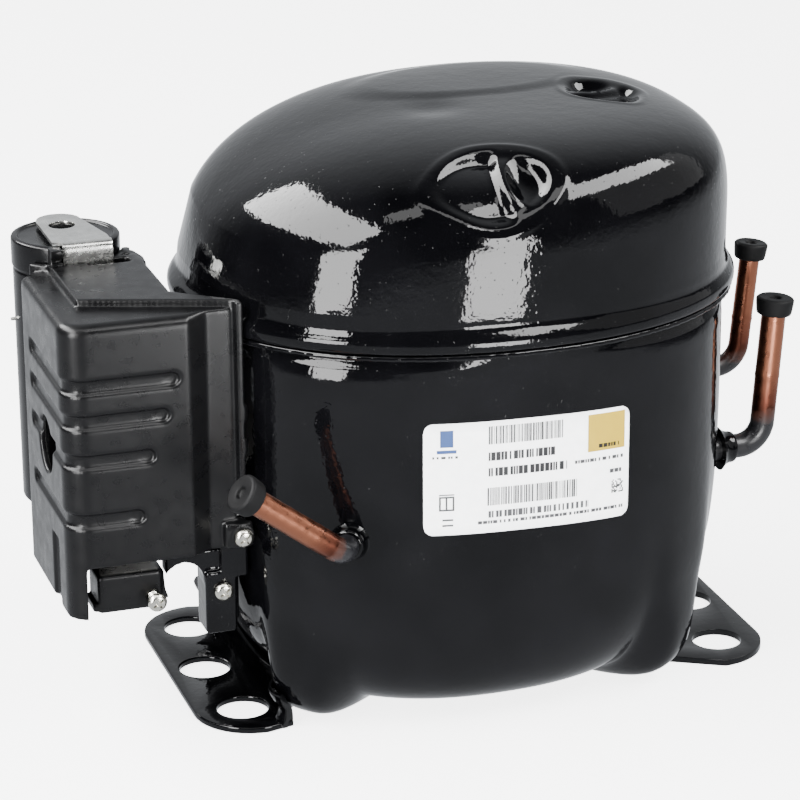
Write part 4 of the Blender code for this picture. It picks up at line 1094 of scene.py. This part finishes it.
def make_fixings():
    clamp = brick("clamp_block", (-133.0, -40, 44), (-112.0, -26, 57), 1.2)
    nose_side = [(-113.0, 46.6), (-109.4, 46.0), (-110.6, 49.4), (-111.0, 56.0), (-113.0, 56.0)]
    nose = prism("nose", nose_side, -38.5, -27.0, axis=1)
    rib = brick("rib", (-134.6, -39.4, 44.6), (-132.0, -28, 47.4), 0.6)
    join(clamp, nose, rib)
    cut(clamp, peg("thread_room", (-115, -60, 48), (-115, -28, 48), 2.1, 32))
    soften(clamp, PLASTIC, 0.45, 4, 0.4)
    settle(clamp, "black_plastic", "cord_clamp")

    post = brick("bracket_skin", (-92.0, -38.4, 50), (-82.6, -33.5, 73), 1.0)
    foot = brick("foot", (-97.0, -38.0, 31), (-86.5, -26.0, 53), 1.0)
    beam = brick("beam", (-109.8, -36.5, 49.0), (-91.0, -30.0, 60.5), 0.8)
    root = brick("root", (-95.0, -33.0, 33), (-84.6, -26.5, 52), 0.8)
    join(post, foot, beam, root)
    arch_side = [(-110.4, 40.0), (-97.2, 40.0), (-97.2, 50.0)] + arc(-103.8, 50.0, 6.6, 0, 180, 20)
    arch = prism("arch", arch_side + [(-110.4, 50.0)], -45.0, -20.0, axis=1)
    cover_thread = peg("thread_a", (-85.6, -50, 66), (-85.6, -34.5, 66), 2.1, 32)
    earth_thread = peg("thread_b", (-91.3, -45, 46), (-91.3, -29, 46), 2.1, 32)
    cut(post, arch, cover_thread, earth_thread)
    soften(post, PAINT, 0.5, 4, 0.4)
    settle(post, "black_paint", "terminal_bracket")

    make_screw("cover_screw", (-85.6, -43.7, 66), 5.8)
    make_screw("earth_screw", (-91.3, -38.3, 46), 7.0)
    make_screw("clamp_screw", (-115.0, -44.5, 48), 15.0)


LOOP_ROUTE = ((45.0, -44.5, 132), (56, -50, 131), (66, -46, 126), (72, -32, 118), (74, -16, 109),
              (75, -4, 98), (76.5, 2, 90), (79.0, 4, 87.6), (83.4, 4, 87.5))


def flex(obj, node):
    """Bakes a piece's placement into its mesh and hides the CAD node that it stands for."""
    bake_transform(obj)
    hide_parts(node)


def make_suspension():
    """The four coil springs and the discharge loop, drawn in place; in the compressor they stretch as the
    pump floats.
    """
    turns, wire, loop_radius = 4.0, 0.8, 2.4
    for node in sorted(name for name in NODES if name.startswith("suspension_spring")):
        low, high = node_box(node)
        middle, radius = (low + high) / 2, (high.x - low.x) / 2 - wire
        coil = []
        for share in np.linspace(0, 1, 161):
            a = 2 * pi * turns * share
            z = low.z + wire + (high.z - low.z - 2 * wire) * share
            coil.append((middle.x + radius * cos(a), middle.y + radius * sin(a), z))
        spring = swept(node.replace("suspension_spring", "coil_spring"), coil, wire, STEEL, 12)
        flex(spring, node)
    loop = swept("discharge_loop_tube", catmull(LOOP_ROUTE, 6), loop_radius, STEEL, 24)
    flex(loop, "discharge_loop")


def dress_cad_nodes():
    """Gives each CAD node that still shows its own finish."""
    for name, obj in NODES.items():
        for look, starts in CAD_LOOKS:
            if name.startswith(starts):
                obj.data.materials.clear()
                obj.data.materials.append(look)


# ---- camera, floor and light


CAMERA_PLACE = Vector((-341.8, -996.1, 466.6)) * MM
AIM = Vector((0.0, 0.0, 90.0)) * MM
BACKDROP = (0.31, 0.87, 0.38)
FLOOR_REACH = 6000


def aimed(name, data, place):
    """An object at a place in metres that faces the part."""
    obj = new_object(name, data)
    obj.location = place
    obj.rotation_euler = (AIM - place).to_track_quat("-Z", "Y").to_euler()
    return obj


def softbox(name, azimuth, elevation, distance, width, height, radiance):
    """A softbox that the camera can't see, with its distance and size in metres."""
    a, e = radians(azimuth), radians(elevation)
    away = Vector((cos(a) * cos(e), sin(a) * cos(e), sin(e)))
    light = bpy.data.lights.new(name, "AREA")
    light.shape = "RECTANGLE"
    light.size = width
    light.size_y = height
    light.energy = radiance * pi * width * height
    aimed(name, light, AIM + away * distance).visible_camera = False


def make_camera():
    camera = bpy.data.cameras.new("camera")
    camera.lens = 148.5
    camera.sensor_width = 36.0
    camera.shift_x = -0.0643
    camera.shift_y = -0.0064
    bpy.context.scene.camera = aimed("camera", camera, CAMERA_PLACE)


def make_floor():
    """A white floor that glows, and that reflections don't show."""
    glow = {"Emission_Color": (1, 1, 1, 1), "Emission_Strength": 4.2}
    shader = Shader("floor_white", Roughness=0.9, Specular_IOR_Level=0.1, **glow)
    shader.blotches(shader.noise(900, 2), 0.3, 0.7, ((0.58, 0.58, 0.58), (0.62, 0.62, 0.62)))
    corners = [(x * FLOOR_REACH, y * FLOOR_REACH, 0) for x, y in ((-1, -1), (1, -1), (1, 1), (-1, 1))]
    floor = piece("floor", corners, [(0, 1, 2, 3)], shader.material)
    floor.visible_glossy = False


def make_world():
    """A cool white world, dark except behind the part and below the horizon."""
    world = bpy.data.worlds.new("world")
    world.use_nodes = True
    nodes, links = world.node_tree.nodes, world.node_tree.links
    sky = nodes["Background"]
    sky.inputs["Color"].default_value = (0.93, 0.96, 1.0, 1.0)
    direction = nodes.new("ShaderNodeTexCoord").outputs["Generated"]

    def towards(axis, *span):
        """Strength that rises smoothly as the direction turns towards an axis."""
        facing = measured(world.node_tree, direction, axis)
        return ranged(world.node_tree, facing, *span, "SMOOTHSTEP")

    both = nodes.new("ShaderNodeMath")
    links.new(towards(BACKDROP, 0.3, 1.0, 0.03, 0.85), both.inputs[0])
    links.new(towards((0, 0, -1), 0.02, 0.22, 0.0, 0.9), both.inputs[1])
    links.new(both.outputs["Value"], sky.inputs["Strength"])
    bpy.context.scene.world = world


def make_softboxes():
    softbox("left_high_box", 168, 47, 1.5, 2.7, 0.62, 24)
    softbox("left_low_box", -143, 10, 0.8, 0.26, 0.4, 28)
    softbox("front_box", -83, 1, 0.42, 0.115, 0.14, 30)
    softbox("right_high_box", -34, 48, 1.6, 1.7, 0.46, 20)
    softbox("right_panel", -20, 26, 2.2, 2.6, 1.8, 0.7)
    softbox("front_fill", -100, 62, 2.0, 1.6, 0.5, 5)


make_camera()
make_floor()
make_world()
make_softboxes()
make_upper_shell()
make_lower_shell()
make_weld()
make_base_plate("base_plate_left", -1)
make_base_plate("base_plate_right", 1)
make_label()
make_tubes()
make_cover()
make_capacitor()
make_fixings()
make_suspension()
dress_cad_nodes()
